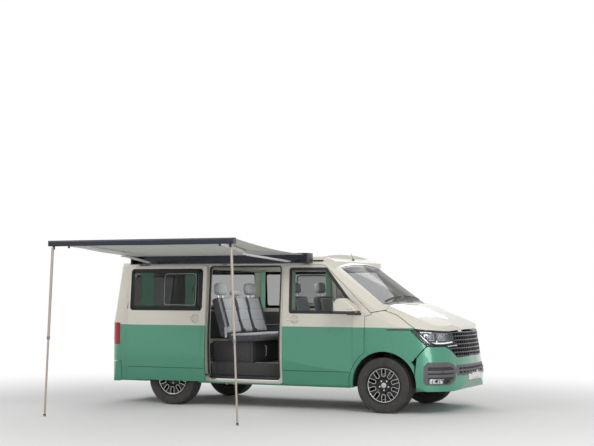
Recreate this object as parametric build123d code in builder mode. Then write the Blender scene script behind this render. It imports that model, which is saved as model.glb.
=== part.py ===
from build123d import *
import os
from math import atan2, cos, hypot, radians, sin

os.makedirs("parts", exist_ok=True)

# Camper van with an open sliding door and a wind-out awning on its right side.
# X points forward from mid-length, Y to the left from the centre plane, Z up from the ground.

# Overall size
LENGTH = 4904
WIDTH = 1904
HALF_L = LENGTH / 2
HALF_W = WIDTH / 2
PLAN_HALF = HALF_W + 4
ROOF_TOP = 1990
FLOOR_TOP = 560

# Axles, wheels and steering
FRONT_AXLE = 1544
REAR_AXLE = -1456
WHEEL_Y = 814
TYRE_R = 345
TYRE_W = 235
RIM_R = 229
ARCH_R = 419
KINGPIN_Y = 740
ARCHES = {"front": (1556, TYRE_R), "rear": (REAR_AXLE, TYRE_R)}

# Depths below the outer surface: glass face, glass back, door flange, body step, door back, wall back
GLASS_FACE = 2
GLASS_BACK = 8
FLANGE = 22
STEP = 28
DOOR = 58
WALL = 70
GAP = 6
LAP = 12

# Heights along the side
SILL = 306
DOOR_TOP = 1841
CANT = 1829
BELT = 1060

# Nose and tailgate slopes
NOSE_Z = 480
NOSE_LEAN = Vector(-86, 0, 550).normalized()
TAIL_Z = 1080
TAIL_LEAN = Vector(0.178, 0, 1).normalized()
BONNET_RUN = Vector(705, 0, -290).normalized()
SCREEN_RUN = Vector(730, 0, -525).normalized()

# Front door shut line
DOOR_REAR = 172
DOOR_FRONT = 1302
DOOR_CUT_R = 470
HINGE_X = 1312
HINGE_Y = 956

# Sliding door, closed place and travel to the open place
SLIDE_FRONT = 166
SLIDE_REAR = -1014
SLIDE_BOTTOM = 326
SLIDE_BACK = -1071
SLIDE_OUT = 93

# Awning
AWNING_X = -715
CASE_L = 2600
CASE_BACK = -905
CASE_FRONT = -1075
CASE_LOW = 1861
CASE_TOP = 1992
SHOULDER_X = 1030
SHOULDER_Y = -1030
SHOULDER_Z = 1900
WRIST_Y = -2914
WRIST_Z = 2040
ELBOW_IN = 170
BAR_L = 2505
BAR_Y = -2985
BAR_Z = 2076
LEG_TOP_X = 1200
LEG_FOOT_X = 1288
LEG_TOP_Z = 2018

# The frame's Y origin is midway between the awning bar and the left mirror
MIRROR_REACH = 1152
BAR_REACH = 3030
CENTRE_Y = (BAR_REACH - MIRROR_REACH) / 2

# Side panels are cut from the body between this distance from the centre plane and beyond
SIDE_START = 780
SIDE_DEPTH = 420


def cross_outline(inset=0):
    """Cross-section of the body, in YZ."""
    with BuildSketch() as outline:
        with BuildLine():
            Polyline((0, 270), (880, 270), (915, 330))
            ThreePointArc((915, 330), (HALF_W - 2.4, 700), (930, 1210))
            Polyline((930, 1210), (880, 1848), (838, 1885))
            ThreePointArc((838, 1885), (420, 1900), (0, 1905))
            mirror(about=Plane.YZ)
        make_face()
        if inset:
            offset(amount=-inset)
    return outline.sketch


def plan_outline(inset=0):
    """Outline of the body from above, in XY."""
    with BuildSketch() as outline:
        with BuildLine():
            ThreePointArc((HALF_L, 0), (2438, 300), (2385, 560))
            ThreePointArc((2385, 560), (2265, 785), (2040, 905))
            ThreePointArc((2040, 905), (1800, 941), (1500, PLAN_HALF))
            Line((1500, PLAN_HALF), (-2250, PLAN_HALF))
            ThreePointArc((-2250, PLAN_HALF), (-2372, 902), (-2425, 780))
            ThreePointArc((-2425, 780), (-2446, 400), (-HALF_L, 0))
            mirror(about=Plane.XZ)
        make_face()
        if inset:
            offset(amount=-inset)
    return outline.sketch


def crown_outline(half, edge, centre, shoulder, inset=0):
    """A crowned top with rounded shoulders over straight sides, in YZ."""
    with BuildSketch() as outline:
        with BuildLine():
            ThreePointArc((-half, edge), (0, centre), (half, edge))
            Polyline((half, edge), shoulder, (1000, 0), (-1000, 0))
            Polyline((-1000, 0), (-shoulder[0], shoulder[1]), (-half, edge))
        make_face()
        fillet(outline.vertices().group_by(Axis.Y)[-1], radius=60)
        if inset:
            offset(amount=-inset)
    return outline.sketch


def nose_form(inset):
    """Everything ahead of the doors, each face moved in by inset."""
    with BuildPart() as plan:
        with BuildSketch(Plane.XY.offset(NOSE_Z)):
            add(plan_outline(inset))
        extrude(amount=-300)
        extrude(plan.faces().sort_by(Axis.Z)[-1], amount=1200, dir=NOSE_LEAN)
    with BuildPart() as barrel:
        with BuildSketch(Plane.YZ.offset(1100)):
            add(crown_outline(800, 1522, 1627, (945, 1332), inset))
        extrude(amount=2000, dir=BONNET_RUN)
    with BuildPart() as nose:
        with BuildSketch(Plane.XZ):
            with BuildLine():
                Polyline((1640, 1345), (1150, 1345), (1150, 270), (2330, 270), (2405, 300), (HALF_L, 420))
                Polyline((HALF_L, 420), (HALF_L, NOSE_Z), (2366, 1030), (2335, 1068))
                ThreePointArc((2335, 1068), (2000, 1257), (1640, 1345))
            make_face()
            if inset:
                offset(amount=-inset)
        extrude(amount=1100, both=True)
        with BuildSketch(Plane.YZ):
            add(cross_outline(inset))
        extrude(amount=2600, mode=Mode.INTERSECT)
        add(plan.part, mode=Mode.INTERSECT)
        add(barrel.part, mode=Mode.INTERSECT)
    return nose.part


def cabin_form(inset):
    """The cabin from the windscreen to the tail, each face moved in by inset."""
    rise = 525 / 730 * (890 + 2600)
    with BuildPart() as plan:
        with BuildSketch(Plane.XY.offset(TAIL_Z)):
            add(plan_outline(inset))
        extrude(amount=-900)
        extrude(plan.faces().sort_by(Axis.Z)[-1], amount=1000, dir=TAIL_LEAN)
    with BuildPart() as barrel:
        with BuildSketch(Plane.YZ.offset(-2600)):
            add(crown_outline(845, 1775 + rise, 1871 + rise, (915, 1680 + rise), inset))
        extrude(amount=6000, dir=SCREEN_RUN)
    with BuildPart() as cabin:
        with BuildSketch(Plane.XZ):
            with BuildLine():
                Polyline((-2600, 1905), (-2600, 270), (1500, 270), (1500, 1180), (1640, 1180), (1640, 1331))
                Polyline((1640, 1331), (890, 1870), (800, 1905), (-2600, 1905))
            make_face()
            if inset:
                offset(amount=-inset)
        extrude(amount=1100, both=True)
        with BuildSketch(Plane.YZ.offset(-2600)):
            add(cross_outline(inset))
        extrude(amount=5200, mode=Mode.INTERSECT)
        add(plan.part, mode=Mode.INTERSECT)
        add(barrel.part, mode=Mode.INTERSECT)
    return cabin.part


def body_form(inset):
    """The whole closed body, each face moved in by inset."""
    nose = nose_form(inset)
    cabin = cabin_form(inset)
    with BuildPart() as body:
        add(cabin)
        add(nose)
    return body.part


DEPTHS = (0, GLASS_FACE, GLASS_BACK, FLANGE, STEP, DOOR, WALL)
FORMS = {depth: body_form(depth) for depth in DEPTHS}


def skin(outer, inner):
    """The body's material between two depths."""
    with BuildPart() as layer:
        add(FORMS[outer])
        add(FORMS[inner], mode=Mode.SUBTRACT)
    return layer.part


def cut_out(layer, outline, plane, depth):
    """The part of a layer inside an outline drawn on a plane."""
    with BuildPart() as piece:
        with BuildSketch(plane):
            add(outline)
        extrude(amount=depth)
        add(layer, mode=Mode.INTERSECT)
    return piece.part


def side_plane(side):
    """The plane inside one side wall; side is 1 for the right and -1 for the left."""
    return Plane.XZ.offset(side * SIDE_START)


def prism(outline, plane, depth):
    """An outline drawn on a plane and extruded, as a cutter."""
    with BuildPart() as block:
        with BuildSketch(plane):
            add(outline)
        extrude(amount=depth)
    return block.part


OUTER = skin(0, STEP)
INNER = skin(STEP, WALL)
PANE = skin(GLASS_FACE, GLASS_BACK)
REBATE = skin(0, GLASS_BACK)
DOOR_SKIN = skin(0, FLANGE)
DOOR_CORE = skin(GLASS_BACK, DOOR)
FULL = skin(0, WALL)


def polygon(points, radius=0, grow=0):
    """A closed polygon with every corner rounded, then offset by grow."""
    with BuildSketch() as outline:
        Polygon(*points, align=None)
        if radius:
            fillet(outline.vertices(), radius=radius)
        if grow:
            offset(amount=grow)
    return outline.sketch


def front_door_outline(grow):
    with BuildSketch() as outline:
        Polygon(
            (DOOR_REAR, SILL + 6),
            (DOOR_REAR, DOOR_TOP),
            (745, DOOR_TOP),
            (1395, 1222),
            (DOOR_FRONT, 1200),
            (DOOR_FRONT, SILL + 6),
            align=None,
        )
        fillet(outline.vertices().sort_by_distance((745, DOOR_TOP))[0], radius=120)
        with Locations(ARCHES["front"]):
            Circle(DOOR_CUT_R, mode=Mode.SUBTRACT)
        if grow:
            offset(amount=grow)
    return outline.sketch


def rectangle(left, right, low, high, radius=0, grow=0):
    """An upright rectangle between two x and two z values."""
    return polygon([(left, low), (left, high), (right, high), (right, low)], radius, grow)


def slide_door_outline(grow):
    return rectangle(SLIDE_REAR, SLIDE_FRONT, SLIDE_BOTTOM, DOOR_TOP, radius=30, grow=grow)


SLIDE_OPENING = rectangle(-905, 120, 377, CANT, radius=36)

# Window outlines in XZ: name, corners, corner radius
WINDOWS = {
    "front_door": ([(275, 1235), (265, 1798), (770, 1798), (1165, 1310), (1135, 1235)], 30),
    "middle": ([(-985, 1250), (-985, 1803), (115, 1803), (115, 1250)], 45),
    "quarter": ([(-2160, 1250), (-2078, 1803), (-1078, 1803), (-1078, 1250)], 45),
}


def window_outline(name, grow):
    corners, radius = WINDOWS[name]
    return polygon(corners, radius=radius, grow=grow)


def window_cut(name, side):
    """The cutter for a window: the opening and a seat for the pane."""
    seat = cut_out(REBATE, window_outline(name, 1), side_plane(side), side * SIDE_DEPTH)
    with BuildPart() as cut:
        with BuildSketch(side_plane(side)):
            add(window_outline(name, -16))
        extrude(amount=side * SIDE_DEPTH)
        add(seat)
    return cut.part


def pierced(outline, window):
    """An outline with a window taken out."""
    with BuildSketch() as sheet:
        add(outline)
        add(window, mode=Mode.SUBTRACT)
    return sheet.sketch


def door_panel(edge, frame, opening, ledge, plane, depth):
    """A door: a skin out to its edge, open to the glass, on a thick frame that the glass rests on."""
    with BuildPart() as panel:
        add(cut_out(DOOR_SKIN, pierced(edge, opening), plane, depth))
        add(cut_out(DOOR_CORE, pierced(frame, ledge), plane, depth))
    return panel.part


def side_pane(name, side):
    return cut_out(PANE, window_outline(name, 0), side_plane(side), side * SIDE_DEPTH)


# Walls of the two sides. side is 1 for the right and -1 for the left.
with BuildSketch() as wall_outline:
    Polygon(
        (-2236, SILL - 6),
        (-2236, TAIL_Z),
        (-2103, CANT - 1),
        (190, CANT - 1),
        (190, 1190),
        (1330, 1190),
        (1330, SILL - 6),
        align=None,
    )
    with Locations(ARCHES["front"]):
        Circle(DOOR_CUT_R - GAP, mode=Mode.SUBTRACT)
    with Locations(ARCHES["rear"]):
        Circle(400, mode=Mode.SUBTRACT)


HINGE_PILLAR = rectangle(1250, 1400, 200, 1300)
LEFT = side_plane(-1)

# The crease low on both sides is a groove of this height range, cut in to this distance from the centre plane
CREASE_LOW = 494
CREASE_TOP = 500
CREASE_Y = 931


def crease(side):
    """The cutter for the groove along one side."""
    return prism(rectangle(-2230, 1290, CREASE_LOW, CREASE_TOP), Plane.XZ.offset(side * CREASE_Y), side * 60)


# Both side walls start from the left one: an outer wall and a thicker lining that the door closes on
with BuildPart() as outer_wall:
    add(cut_out(OUTER, wall_outline.sketch, LEFT, -SIDE_DEPTH))
    add(prism(HINGE_PILLAR, LEFT, -SIDE_DEPTH), mode=Mode.SUBTRACT)
    add(prism(front_door_outline(GAP), LEFT, -SIDE_DEPTH), mode=Mode.SUBTRACT)
with BuildPart() as lining:
    add(cut_out(INNER, wall_outline.sketch, LEFT, -SIDE_DEPTH))
    add(prism(front_door_outline(-LAP), LEFT, -SIDE_DEPTH), mode=Mode.SUBTRACT)
with BuildPart() as side_wall:
    add(outer_wall.part)
    add(lining.part)
    add(window_cut("quarter", -1), mode=Mode.SUBTRACT)

with BuildPart() as left_body_side:
    add(side_wall.part)
    add(window_cut("middle", -1), mode=Mode.SUBTRACT)
    add(crease(-1), mode=Mode.SUBTRACT)
left_body_side.part.label = "left_body_side"

# The right wall has the side doorway, and a shallow recess for the sliding door's edge
with BuildPart() as right_body_side:
    add(mirror(side_wall.part, about=Plane.XZ, mode=Mode.PRIVATE))
    add(prism(SLIDE_OPENING, side_plane(1), SIDE_DEPTH), mode=Mode.SUBTRACT)
    add(cut_out(OUTER, slide_door_outline(GAP), side_plane(1), SIDE_DEPTH), mode=Mode.SUBTRACT)
    add(crease(1), mode=Mode.SUBTRACT)
right_body_side.part.label = "right_body_side"

# Roof frame: the ring round the lifting roof, over the doors and the tailgate
ROOF_OPEN_REAR = -1950
ROOF_OPEN_FRONT = 450
ROOF_OPEN_HALF = 620
TAILGATE_HALF = 775
TAILGATE_LOW = 560
LAMP_LOW = 786
LAMP_TOP = 1080

roof_ring = cut_out(FULL, rectangle(-2460, 742, CANT, 2000), Plane.XZ.offset(-1200), 2400)
door_tops = [prism(front_door_outline(GAP), Plane.XZ.offset(side * 840), side * 300) for side in (1, -1)]
door_tops.append(prism(slide_door_outline(GAP), Plane.XZ.offset(840), 300))
with BuildPart() as roof_frame:
    add(roof_ring)
    for cutter in door_tops:
        add(cutter, mode=Mode.SUBTRACT)
    with BuildSketch(Plane.XY.offset(1700)):
        with Locations(((ROOF_OPEN_REAR + ROOF_OPEN_FRONT) / 2, 0)):
            RectangleRounded(ROOF_OPEN_FRONT - ROOF_OPEN_REAR, 2 * ROOF_OPEN_HALF, 80)
    extrude(amount=400, mode=Mode.SUBTRACT)
    with BuildSketch(Plane.YZ.offset(-2500)):
        with Locations((0, 1200)):
            Rectangle(2 * (TAILGATE_HALF + GAP), 2 * (DOOR_TOP + GAP - 1200))
    extrude(amount=400, mode=Mode.SUBTRACT)
roof_frame.part.label = "roof_frame"

# Rear frame: the two corners beside the tailgate, each with a tail lamp set in
TAIL = Plane.YZ.offset(-2600)
gate_gap = cut_out(OUTER, rectangle(-TAILGATE_HALF - GAP, TAILGATE_HALF + GAP, 500, 1900), TAIL, 400)
with BuildPart() as lamp_seats:
    add(cut_out(OUTER, rectangle(800, 1000, LAMP_LOW, LAMP_TOP, radius=10), TAIL, 350))
    mirror(about=Plane.XZ)
corners = cut_out(
    FULL,
    polygon([(-2600, 566), (-2600, CANT - 1), (-2104, CANT - 1), (-2237, TAIL_Z), (-2237, 566)]),
    Plane.XZ.offset(-1200),
    2400,
)
with BuildPart() as rear_frame:
    add(corners)
    with BuildSketch(TAIL):
        with Locations((0, 1200)):
            Rectangle(2 * (TAILGATE_HALF - LAP), 1400)
    extrude(amount=600, mode=Mode.SUBTRACT)
    add(gate_gap, mode=Mode.SUBTRACT)
    add(lamp_seats.part, mode=Mode.SUBTRACT)
rear_frame.part.label = "rear_frame"

with BuildPart() as tail_lamps:
    add(lamp_seats.part)
tail_lamps.part.label = "tail_lamps"

# Floor
with BuildPart() as floor_pan:
    with BuildSketch(Plane.XY.offset(FLOOR_TOP - 40)):
        with Locations((-620, 0)):
            Rectangle(3420, 1630)
        with Locations((REAR_AXLE, 650), (REAR_AXLE, -650)):
            Rectangle(780, 340, mode=Mode.SUBTRACT)
        with Locations((-395, -770)):
            Rectangle(1030, 200, mode=Mode.SUBTRACT)
    extrude(amount=40)
    # Step well inside the sliding door
    with BuildSketch(Plane.XY.offset(380)):
        with Locations((-395, -740)):
            Rectangle(1030, 140)
    extrude(amount=12)
    with BuildSketch(Plane.XY.offset(380)):
        with Locations((-395, -664)):
            Rectangle(1030, 12)
        with Locations((-904, -740), (114, -740)):
            Rectangle(12, 140)
    extrude(amount=FLOOR_TOP - 380)
    # Rails and crossmembers under the floor
    with BuildSketch(Plane.XY.offset(400)):
        with Locations((-620, 440), (-620, -440)):
            Rectangle(3420, 80)
        with Locations((900, 0), (-100, 0), (-800, 0), (-2200, 0)):
            Rectangle(70, 1300)
    extrude(amount=FLOOR_TOP - 430)
    # Rear wheelhouses
    for side in (1, -1):
        with BuildSketch(Plane.XZ.offset(side * 470)):
            with Locations(ARCHES["rear"]):
                Circle(446)
                Circle(434, mode=Mode.SUBTRACT)
            with Locations((REAR_AXLE, 200)):
                Rectangle(1000, 640, mode=Mode.SUBTRACT)
        extrude(amount=side * 350)
        with BuildSketch(Plane.XZ.offset(side * 470)):
            with Locations(ARCHES["rear"]):
                Circle(446)
            with Locations((REAR_AXLE, 200)):
                Rectangle(1000, 640, mode=Mode.SUBTRACT)
        extrude(amount=side * 12)
floor_pan.part.label = "floor_pan"

# Front doors. Each is an outer skin with a flange round an inner box. The mirror stands on it.
MIRROR_ROOT = 985
MIRROR_SHELL = [
    (968, 1240),
    (968, 1362),
    (1010, 1416),
    (1090, 1422),
    (1190, 1352),
    (1262, 1286),
    (1256, 1240),
]
HANDLE_Z = 1147
FRONT_HANDLE_X = 345
SLIDE_HANDLE_X = 18
DISH_R = 56
DISH_FLOOR = 921
GRIP_FACE = 946


def door_mirror(side):
    """Mirror housing, high at its back and sloping forward, on a foot ahead of the window."""
    with BuildPart() as housing:
        with BuildSketch(Plane.XZ.offset(side * MIRROR_ROOT)):
            Polygon(*MIRROR_SHELL, align=None)
            fillet(vertices(), radius=22)
        extrude(amount=side * (MIRROR_REACH - MIRROR_ROOT))
        ends = housing.faces().sort_by(Axis.Y)
        fillet(ends[0 if side == 1 else -1].edges(), radius=20)
        with BuildSketch(Plane.XZ.offset(side * 905)):
            with Locations((1212, 1262)):
                RectangleRounded(110, 40, 18)
        extrude(amount=side * 110)
    return housing.part


def handle_dish(x, side):
    """The round finger dish behind a door handle, as a cutter."""
    with BuildPart() as dish:
        with BuildSketch(Plane.XZ.offset(side * DISH_FLOOR)):
            with Locations((x, HANDLE_Z)):
                Circle(DISH_R)
        extrude(amount=side * 60)
    return dish.part


def handle_grip(x, side):
    """The pull handle across its dish, longer to the rear."""
    with BuildPart() as grip:
        with BuildSketch(Plane.XZ.offset(side * (DISH_FLOOR + 10))):
            with Locations((x - 20, HANDLE_Z)):
                RectangleRounded(172, 26, 12)
        extrude(amount=side * (GRIP_FACE - DISH_FLOOR - 10))
    return grip.part


with BuildPart() as left_front_door:
    add(
        door_panel(
            edge=front_door_outline(0),
            frame=front_door_outline(-LAP - GAP),
            opening=window_outline("front_door", 1),
            ledge=window_outline("front_door", -16),
            plane=LEFT,
            depth=-SIDE_DEPTH,
        )
    )
    add(door_mirror(-1))
    add(crease(-1), mode=Mode.SUBTRACT)
    add(handle_dish(FRONT_HANDLE_X, -1), mode=Mode.SUBTRACT)
    add(handle_grip(FRONT_HANDLE_X, -1))
left_front_door.part.label = "left_front_door"

with BuildPart() as right_front_door:
    add(mirror(left_front_door.part, about=Plane.XZ, mode=Mode.PRIVATE))
right_front_door.part.label = "right_front_door"

with BuildPart() as right_front_glass:
    add(side_pane("front_door", 1))
right_front_glass.part.label = "right_front_glass"

with BuildPart() as left_front_glass:
    add(side_pane("front_door", -1))
left_front_glass.part.label = "left_front_glass"

# Sliding door, drawn closed and moved to its open place beside the rear quarter
closed_panel = door_panel(
    edge=slide_door_outline(0),
    frame=rectangle(-893, 108, 389, 1817, radius=60),
    opening=window_outline("middle", 1),
    ledge=window_outline("middle", -16),
    plane=side_plane(1),
    depth=SIDE_DEPTH,
)
with BuildPart() as closed_door:
    add(closed_panel)
    add(crease(1), mode=Mode.SUBTRACT)
    add(handle_dish(SLIDE_HANDLE_X, 1), mode=Mode.SUBTRACT)
    add(handle_grip(SLIDE_HANDLE_X, 1))
with BuildPart() as sliding_door:
    with Locations((SLIDE_BACK, -SLIDE_OUT, 0)):
        add(closed_door.part)
    # Roller arms: one on the waist rail behind, one into the sill track ahead
    with BuildSketch(Plane.XY.offset(1012)):
        with Locations((-2040, -986)):
            Rectangle(60, 66)
    extrude(amount=36)
    with BuildSketch(Plane.XY.offset(400)):
        with Locations((-917, -970)):
            Rectangle(146, 24)
        with Locations((-857, -915)):
            Rectangle(26, 110)
    extrude(amount=26)
sliding_door.part.label = "sliding_door"

fixed_panes = [side_pane("quarter", 1), side_pane("quarter", -1), side_pane("middle", -1)]
door_pane = side_pane("middle", 1)
with BuildPart() as side_windows:
    for pane in fixed_panes:
        add(pane)
    with Locations((SLIDE_BACK, -SLIDE_OUT, 0)):
        add(door_pane)
side_windows.part.label = "side_windows"

# Windscreen, in a front view
SCREEN_EDGE = 800
with BuildSketch() as screen_outline:
    with BuildLine():
        ThreePointArc((-SCREEN_EDGE, 1322), (0, 1362), (SCREEN_EDGE, 1322))
        Line((SCREEN_EDGE, 1322), (690, 1812))
        ThreePointArc((690, 1812), (0, 1858), (-690, 1812))
        Line((-690, 1812), (-SCREEN_EDGE, 1322))
    make_face()
    fillet(screen_outline.vertices(), radius=40)
with BuildSketch() as screen_hole:
    add(screen_outline.sketch)
    offset(amount=-18)
with BuildSketch() as screen_seat:
    add(screen_outline.sketch)
    offset(amount=1)

# Windscreen frame: pillars, header and cowl
# The bonnet's rear edge from above, and its side seam from the side
with BuildSketch() as bonnet_plan:
    with BuildLine():
        ThreePointArc((1548, -960), (1652, 0), (1548, 960))
        Polyline((1548, 960), (2600, 960), (2600, -960), (1548, -960))
    make_face()
SEAM = [(1548, 1272), (1703, 1217), (1962, 1047)]
with BuildSketch() as bonnet_side:
    Polygon((1500, 1500), (1500, 1290), *SEAM, (2296, 1018), (2420, 1042), (2420, 1500), align=None)

screen_gap = cut_out(REBATE, screen_seat.sketch, Plane.YZ.offset(700), 1000)
bonnet_gap = prism(offset(bonnet_plan.sketch, amount=GAP), Plane.XY.offset(900), 600)
with BuildPart() as windscreen:
    add(cut_out(PANE, screen_outline.sketch, Plane.YZ.offset(700), 1000))
    add(bonnet_gap, mode=Mode.SUBTRACT)
windscreen.part.label = "windscreen"

with BuildSketch() as screen_frame_outline:
    Polygon(
        (743, 2000),
        (743, 1770),
        (1280, 1242),
        (1404, 1250),
        (1543, 1276),
        (1543, 1278),
        (1800, 1278),
        (1800, 1400),
        (1700, 1500),
        align=None,
    )
both_doors = [prism(front_door_outline(GAP), side_plane(side), side * SIDE_DEPTH) for side in (1, -1)]
both_cores = [prism(front_door_outline(-LAP), side_plane(side), side * SIDE_DEPTH) for side in (1, -1)]
with BuildSketch() as door_tip:
    add(front_door_outline(GAP + 4))
    add(rectangle(1240, 1420, 1150, 1400), mode=Mode.INTERSECT)
tip_room = [prism(door_tip.sketch, side_plane(side), side * SIDE_DEPTH) for side in (1, -1)]
frame_outer = cut_out(OUTER, screen_frame_outline.sketch, Plane.XZ.offset(-1200), 2400)
frame_inner = cut_out(INNER, screen_frame_outline.sketch, Plane.XZ.offset(-1200), 2400)
with BuildPart() as frame_face:
    add(frame_outer)
    for cutter in both_doors:
        add(cutter, mode=Mode.SUBTRACT)
with BuildPart() as windscreen_frame:
    add(frame_inner)
    for cutter in both_cores:
        add(cutter, mode=Mode.SUBTRACT)
    add(frame_face.part)
    for cutter in tip_room:
        add(cutter, mode=Mode.SUBTRACT)
    add(screen_gap, mode=Mode.SUBTRACT)
    add(prism(screen_hole.sketch, Plane.YZ.offset(700), 1000), mode=Mode.SUBTRACT)
    add(bonnet_gap, mode=Mode.SUBTRACT)
windscreen_frame.part.label = "windscreen_frame"

# Bulkhead between the cab and the engine, with the footwell under it
with BuildPart() as bulkhead:
    with BuildSketch(Plane.YZ.offset(1180)):
        with Locations((0, 909)):
            Rectangle(1620, 538)
        with Locations((0, 577)):
            Rectangle(1280, 126)
    extrude(amount=40)
    with BuildSketch(Plane.YZ.offset(1092)):
        with Locations((0, 535)):
            Rectangle(940, 40)
    extrude(amount=100)
bulkhead.part.label = "bulkhead"

# Front wings, each cut by the arch, the door, the bonnet seam, the headlight and the bumper
with BuildSketch() as wing_outline:
    Polygon(
        (1302, 1236),
        (1404, 1240),
        (1545, 1266),
        (1700, 1211),
        (1954, 1042),
        (1889, 1036),
        (2086, 834),
        (1930, 650),
        (1302, 650),
        align=None,
    )
    with Locations(ARCHES["front"]):
        Circle(DOOR_CUT_R - GAP)
        Circle(ARCH_R, mode=Mode.SUBTRACT)
    with Locations((1556, 150)):
        Rectangle(1200, 312, mode=Mode.SUBTRACT)
    with Locations((2150, 480)):
        Rectangle(400, 424, mode=Mode.SUBTRACT)
    add(front_door_outline(GAP), mode=Mode.SUBTRACT)
with BuildPart() as front_wings:
    for side in (1, -1):
        add(cut_out(OUTER, wing_outline.sketch, side_plane(side), side * SIDE_DEPTH))
front_wings.part.label = "front_wings"

# Bonnet: seam outline from the side, rear edge from above
with BuildPart() as bonnet:
    with BuildSketch(Plane.XZ.offset(-1200)):
        add(bonnet_side.sketch)
    extrude(amount=2400)
    add(OUTER, mode=Mode.INTERSECT)
    add(prism(bonnet_plan.sketch, Plane.XY.offset(900), 600), mode=Mode.INTERSECT)
bonnet.part.label = "bonnet"

# Headlights and grille share the band under the bonnet. Outlines from the front, right half.
LAMP = [(546, 1006), (506, 868), (700, 826), (960, 826), (960, 1031), (546, 1031)]
GRILLE = [(0, 1004), (540, 1004), (498, 866), (694, 820), (640, 800), (500, 690), (0, 700)]
with BuildSketch() as lamp_side:
    Polygon((1900, 1036), (2100, 832), (2500, 832), (2500, 1006), (2296, 1012), (1960, 1040), align=None)
with BuildPart() as headlights:
    with BuildSketch(Plane.YZ.offset(1800)):
        Polygon(*LAMP, align=None)
        mirror(about=Plane.YZ)
    extrude(amount=800)
    add(OUTER, mode=Mode.INTERSECT)
    add(prism(lamp_side.sketch, Plane.XZ.offset(-1200), 2400), mode=Mode.INTERSECT)
headlights.part.label = "headlights"

GRILLE_BAR = 15
GRILLE_ROWS = 6
GRILLE_PITCH_Z = 50
GRILLE_PITCH_Y = 66
with BuildSketch() as grille_outline:
    with BuildLine():
        Polyline(*GRILLE)
        mirror(about=Plane.YZ)
    make_face()
with BuildSketch() as cell_grid:
    with Locations((0, 852)):
        with GridLocations(GRILLE_PITCH_Y, GRILLE_PITCH_Z, 20, GRILLE_ROWS):
            Rectangle(GRILLE_PITCH_Y - GRILLE_BAR, GRILLE_PITCH_Z - GRILLE_BAR)
with BuildSketch() as grille_cells:
    add(grille_outline.sketch)
    offset(amount=-GRILLE_BAR)
    add(cell_grid.sketch, mode=Mode.INTERSECT)
with BuildPart() as grille:
    with BuildSketch(Plane.YZ.offset(2100)):
        add(grille_outline.sketch)
    extrude(amount=500)
    add(OUTER, mode=Mode.INTERSECT)
    with BuildSketch(Plane.YZ.offset(2100)):
        add(grille_cells.sketch)
    extrude(amount=500, mode=Mode.SUBTRACT)
grille.part.label = "grille"

# Front bumper with its two side inserts, from the front
with BuildSketch() as bumper_side:
    Polygon(
        (1940, 284),
        (2500, 284),
        (2500, 1000),
        (2300, 1000),
        (2300, 826),
        (2098, 826),
        (1981, 690),
        align=None,
    )
    with Locations(ARCHES["front"]):
        Circle(ARCH_R, mode=Mode.SUBTRACT)
with BuildSketch() as insert_front:
    Polygon((560, 560), (600, 610), (690, 640), (1000, 640), (1000, 360), (690, 360), (600, 420), align=None)
    mirror(about=Plane.YZ)
with BuildSketch() as insert_side:
    Polygon((2062, 400), (2062, 580), (2110, 640), (2500, 640), (2500, 360), (2090, 360), align=None)
with BuildSketch() as intake_front:
    with BuildLine():
        Polyline((0, 600), (540, 600), (575, 540), (560, 470), (0, 462))
        mirror(about=Plane.YZ)
    make_face()
insert_block = prism(insert_side.sketch, Plane.XZ.offset(-1200), 2400)
with BuildPart() as insert_cut:
    add(prism(insert_front.sketch, Plane.YZ.offset(1900), 700))
    add(insert_block, mode=Mode.INTERSECT)
intake_block = prism(intake_front.sketch, Plane.YZ.offset(2200), 400)
with BuildPart() as lamp_block:
    with BuildSketch(Plane.YZ.offset(1800)):
        Polygon(*LAMP, align=None)
        mirror(about=Plane.YZ)
        offset(amount=2)
    extrude(amount=800)
    with BuildSketch(Plane.XZ.offset(-1200)):
        add(lamp_side.sketch)
        offset(amount=2)
    extrude(amount=2400, mode=Mode.INTERSECT)
lamp_room = lamp_block.part
with BuildPart() as front_bumper:
    with BuildSketch(Plane.XZ.offset(-1200)):
        add(bumper_side.sketch)
    extrude(amount=2400)
    add(OUTER, mode=Mode.INTERSECT)
    add(insert_cut.part, mode=Mode.SUBTRACT)
    add(intake_block, mode=Mode.SUBTRACT)
    add(lamp_room, mode=Mode.SUBTRACT)
    with BuildSketch(Plane.YZ.offset(2100)):
        add(grille_outline.sketch)
        offset(amount=1)
    extrude(amount=500, mode=Mode.SUBTRACT)
    with BuildSketch(Plane.YZ.offset(2250)):
        with Locations((0, 960)):
            Rectangle(1344, 264)
    extrude(amount=300, mode=Mode.SUBTRACT)
front_bumper.part.label = "front_bumper"

with BuildPart() as bumper_trim:
    add(insert_cut.part)
    add(intake_block)
    add(OUTER, mode=Mode.INTERSECT)
    # Intake slots and lamp recesses
    with BuildSketch(Plane.YZ.offset(2200)):
        with Locations((0, 530)):
            with GridLocations(90, 46, 11, 2):
                Rectangle(74, 26)
        with Locations((760, 405), (-760, 405)):
            RectangleRounded(150, 50, 20)
    extrude(amount=400, mode=Mode.SUBTRACT)
bumper_trim.part.label = "bumper_trim"

# Rear bumper
with BuildPart() as rear_bumper:
    with BuildSketch(Plane.XZ.offset(-1200)):
        Polygon((-2600, 290), (-2600, 556), (-2242, 556), (-2242, 300), (-2300, 290), align=None)
    extrude(amount=2400)
    add(FULL, mode=Mode.INTERSECT)
rear_bumper.part.label = "rear_bumper"

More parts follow.
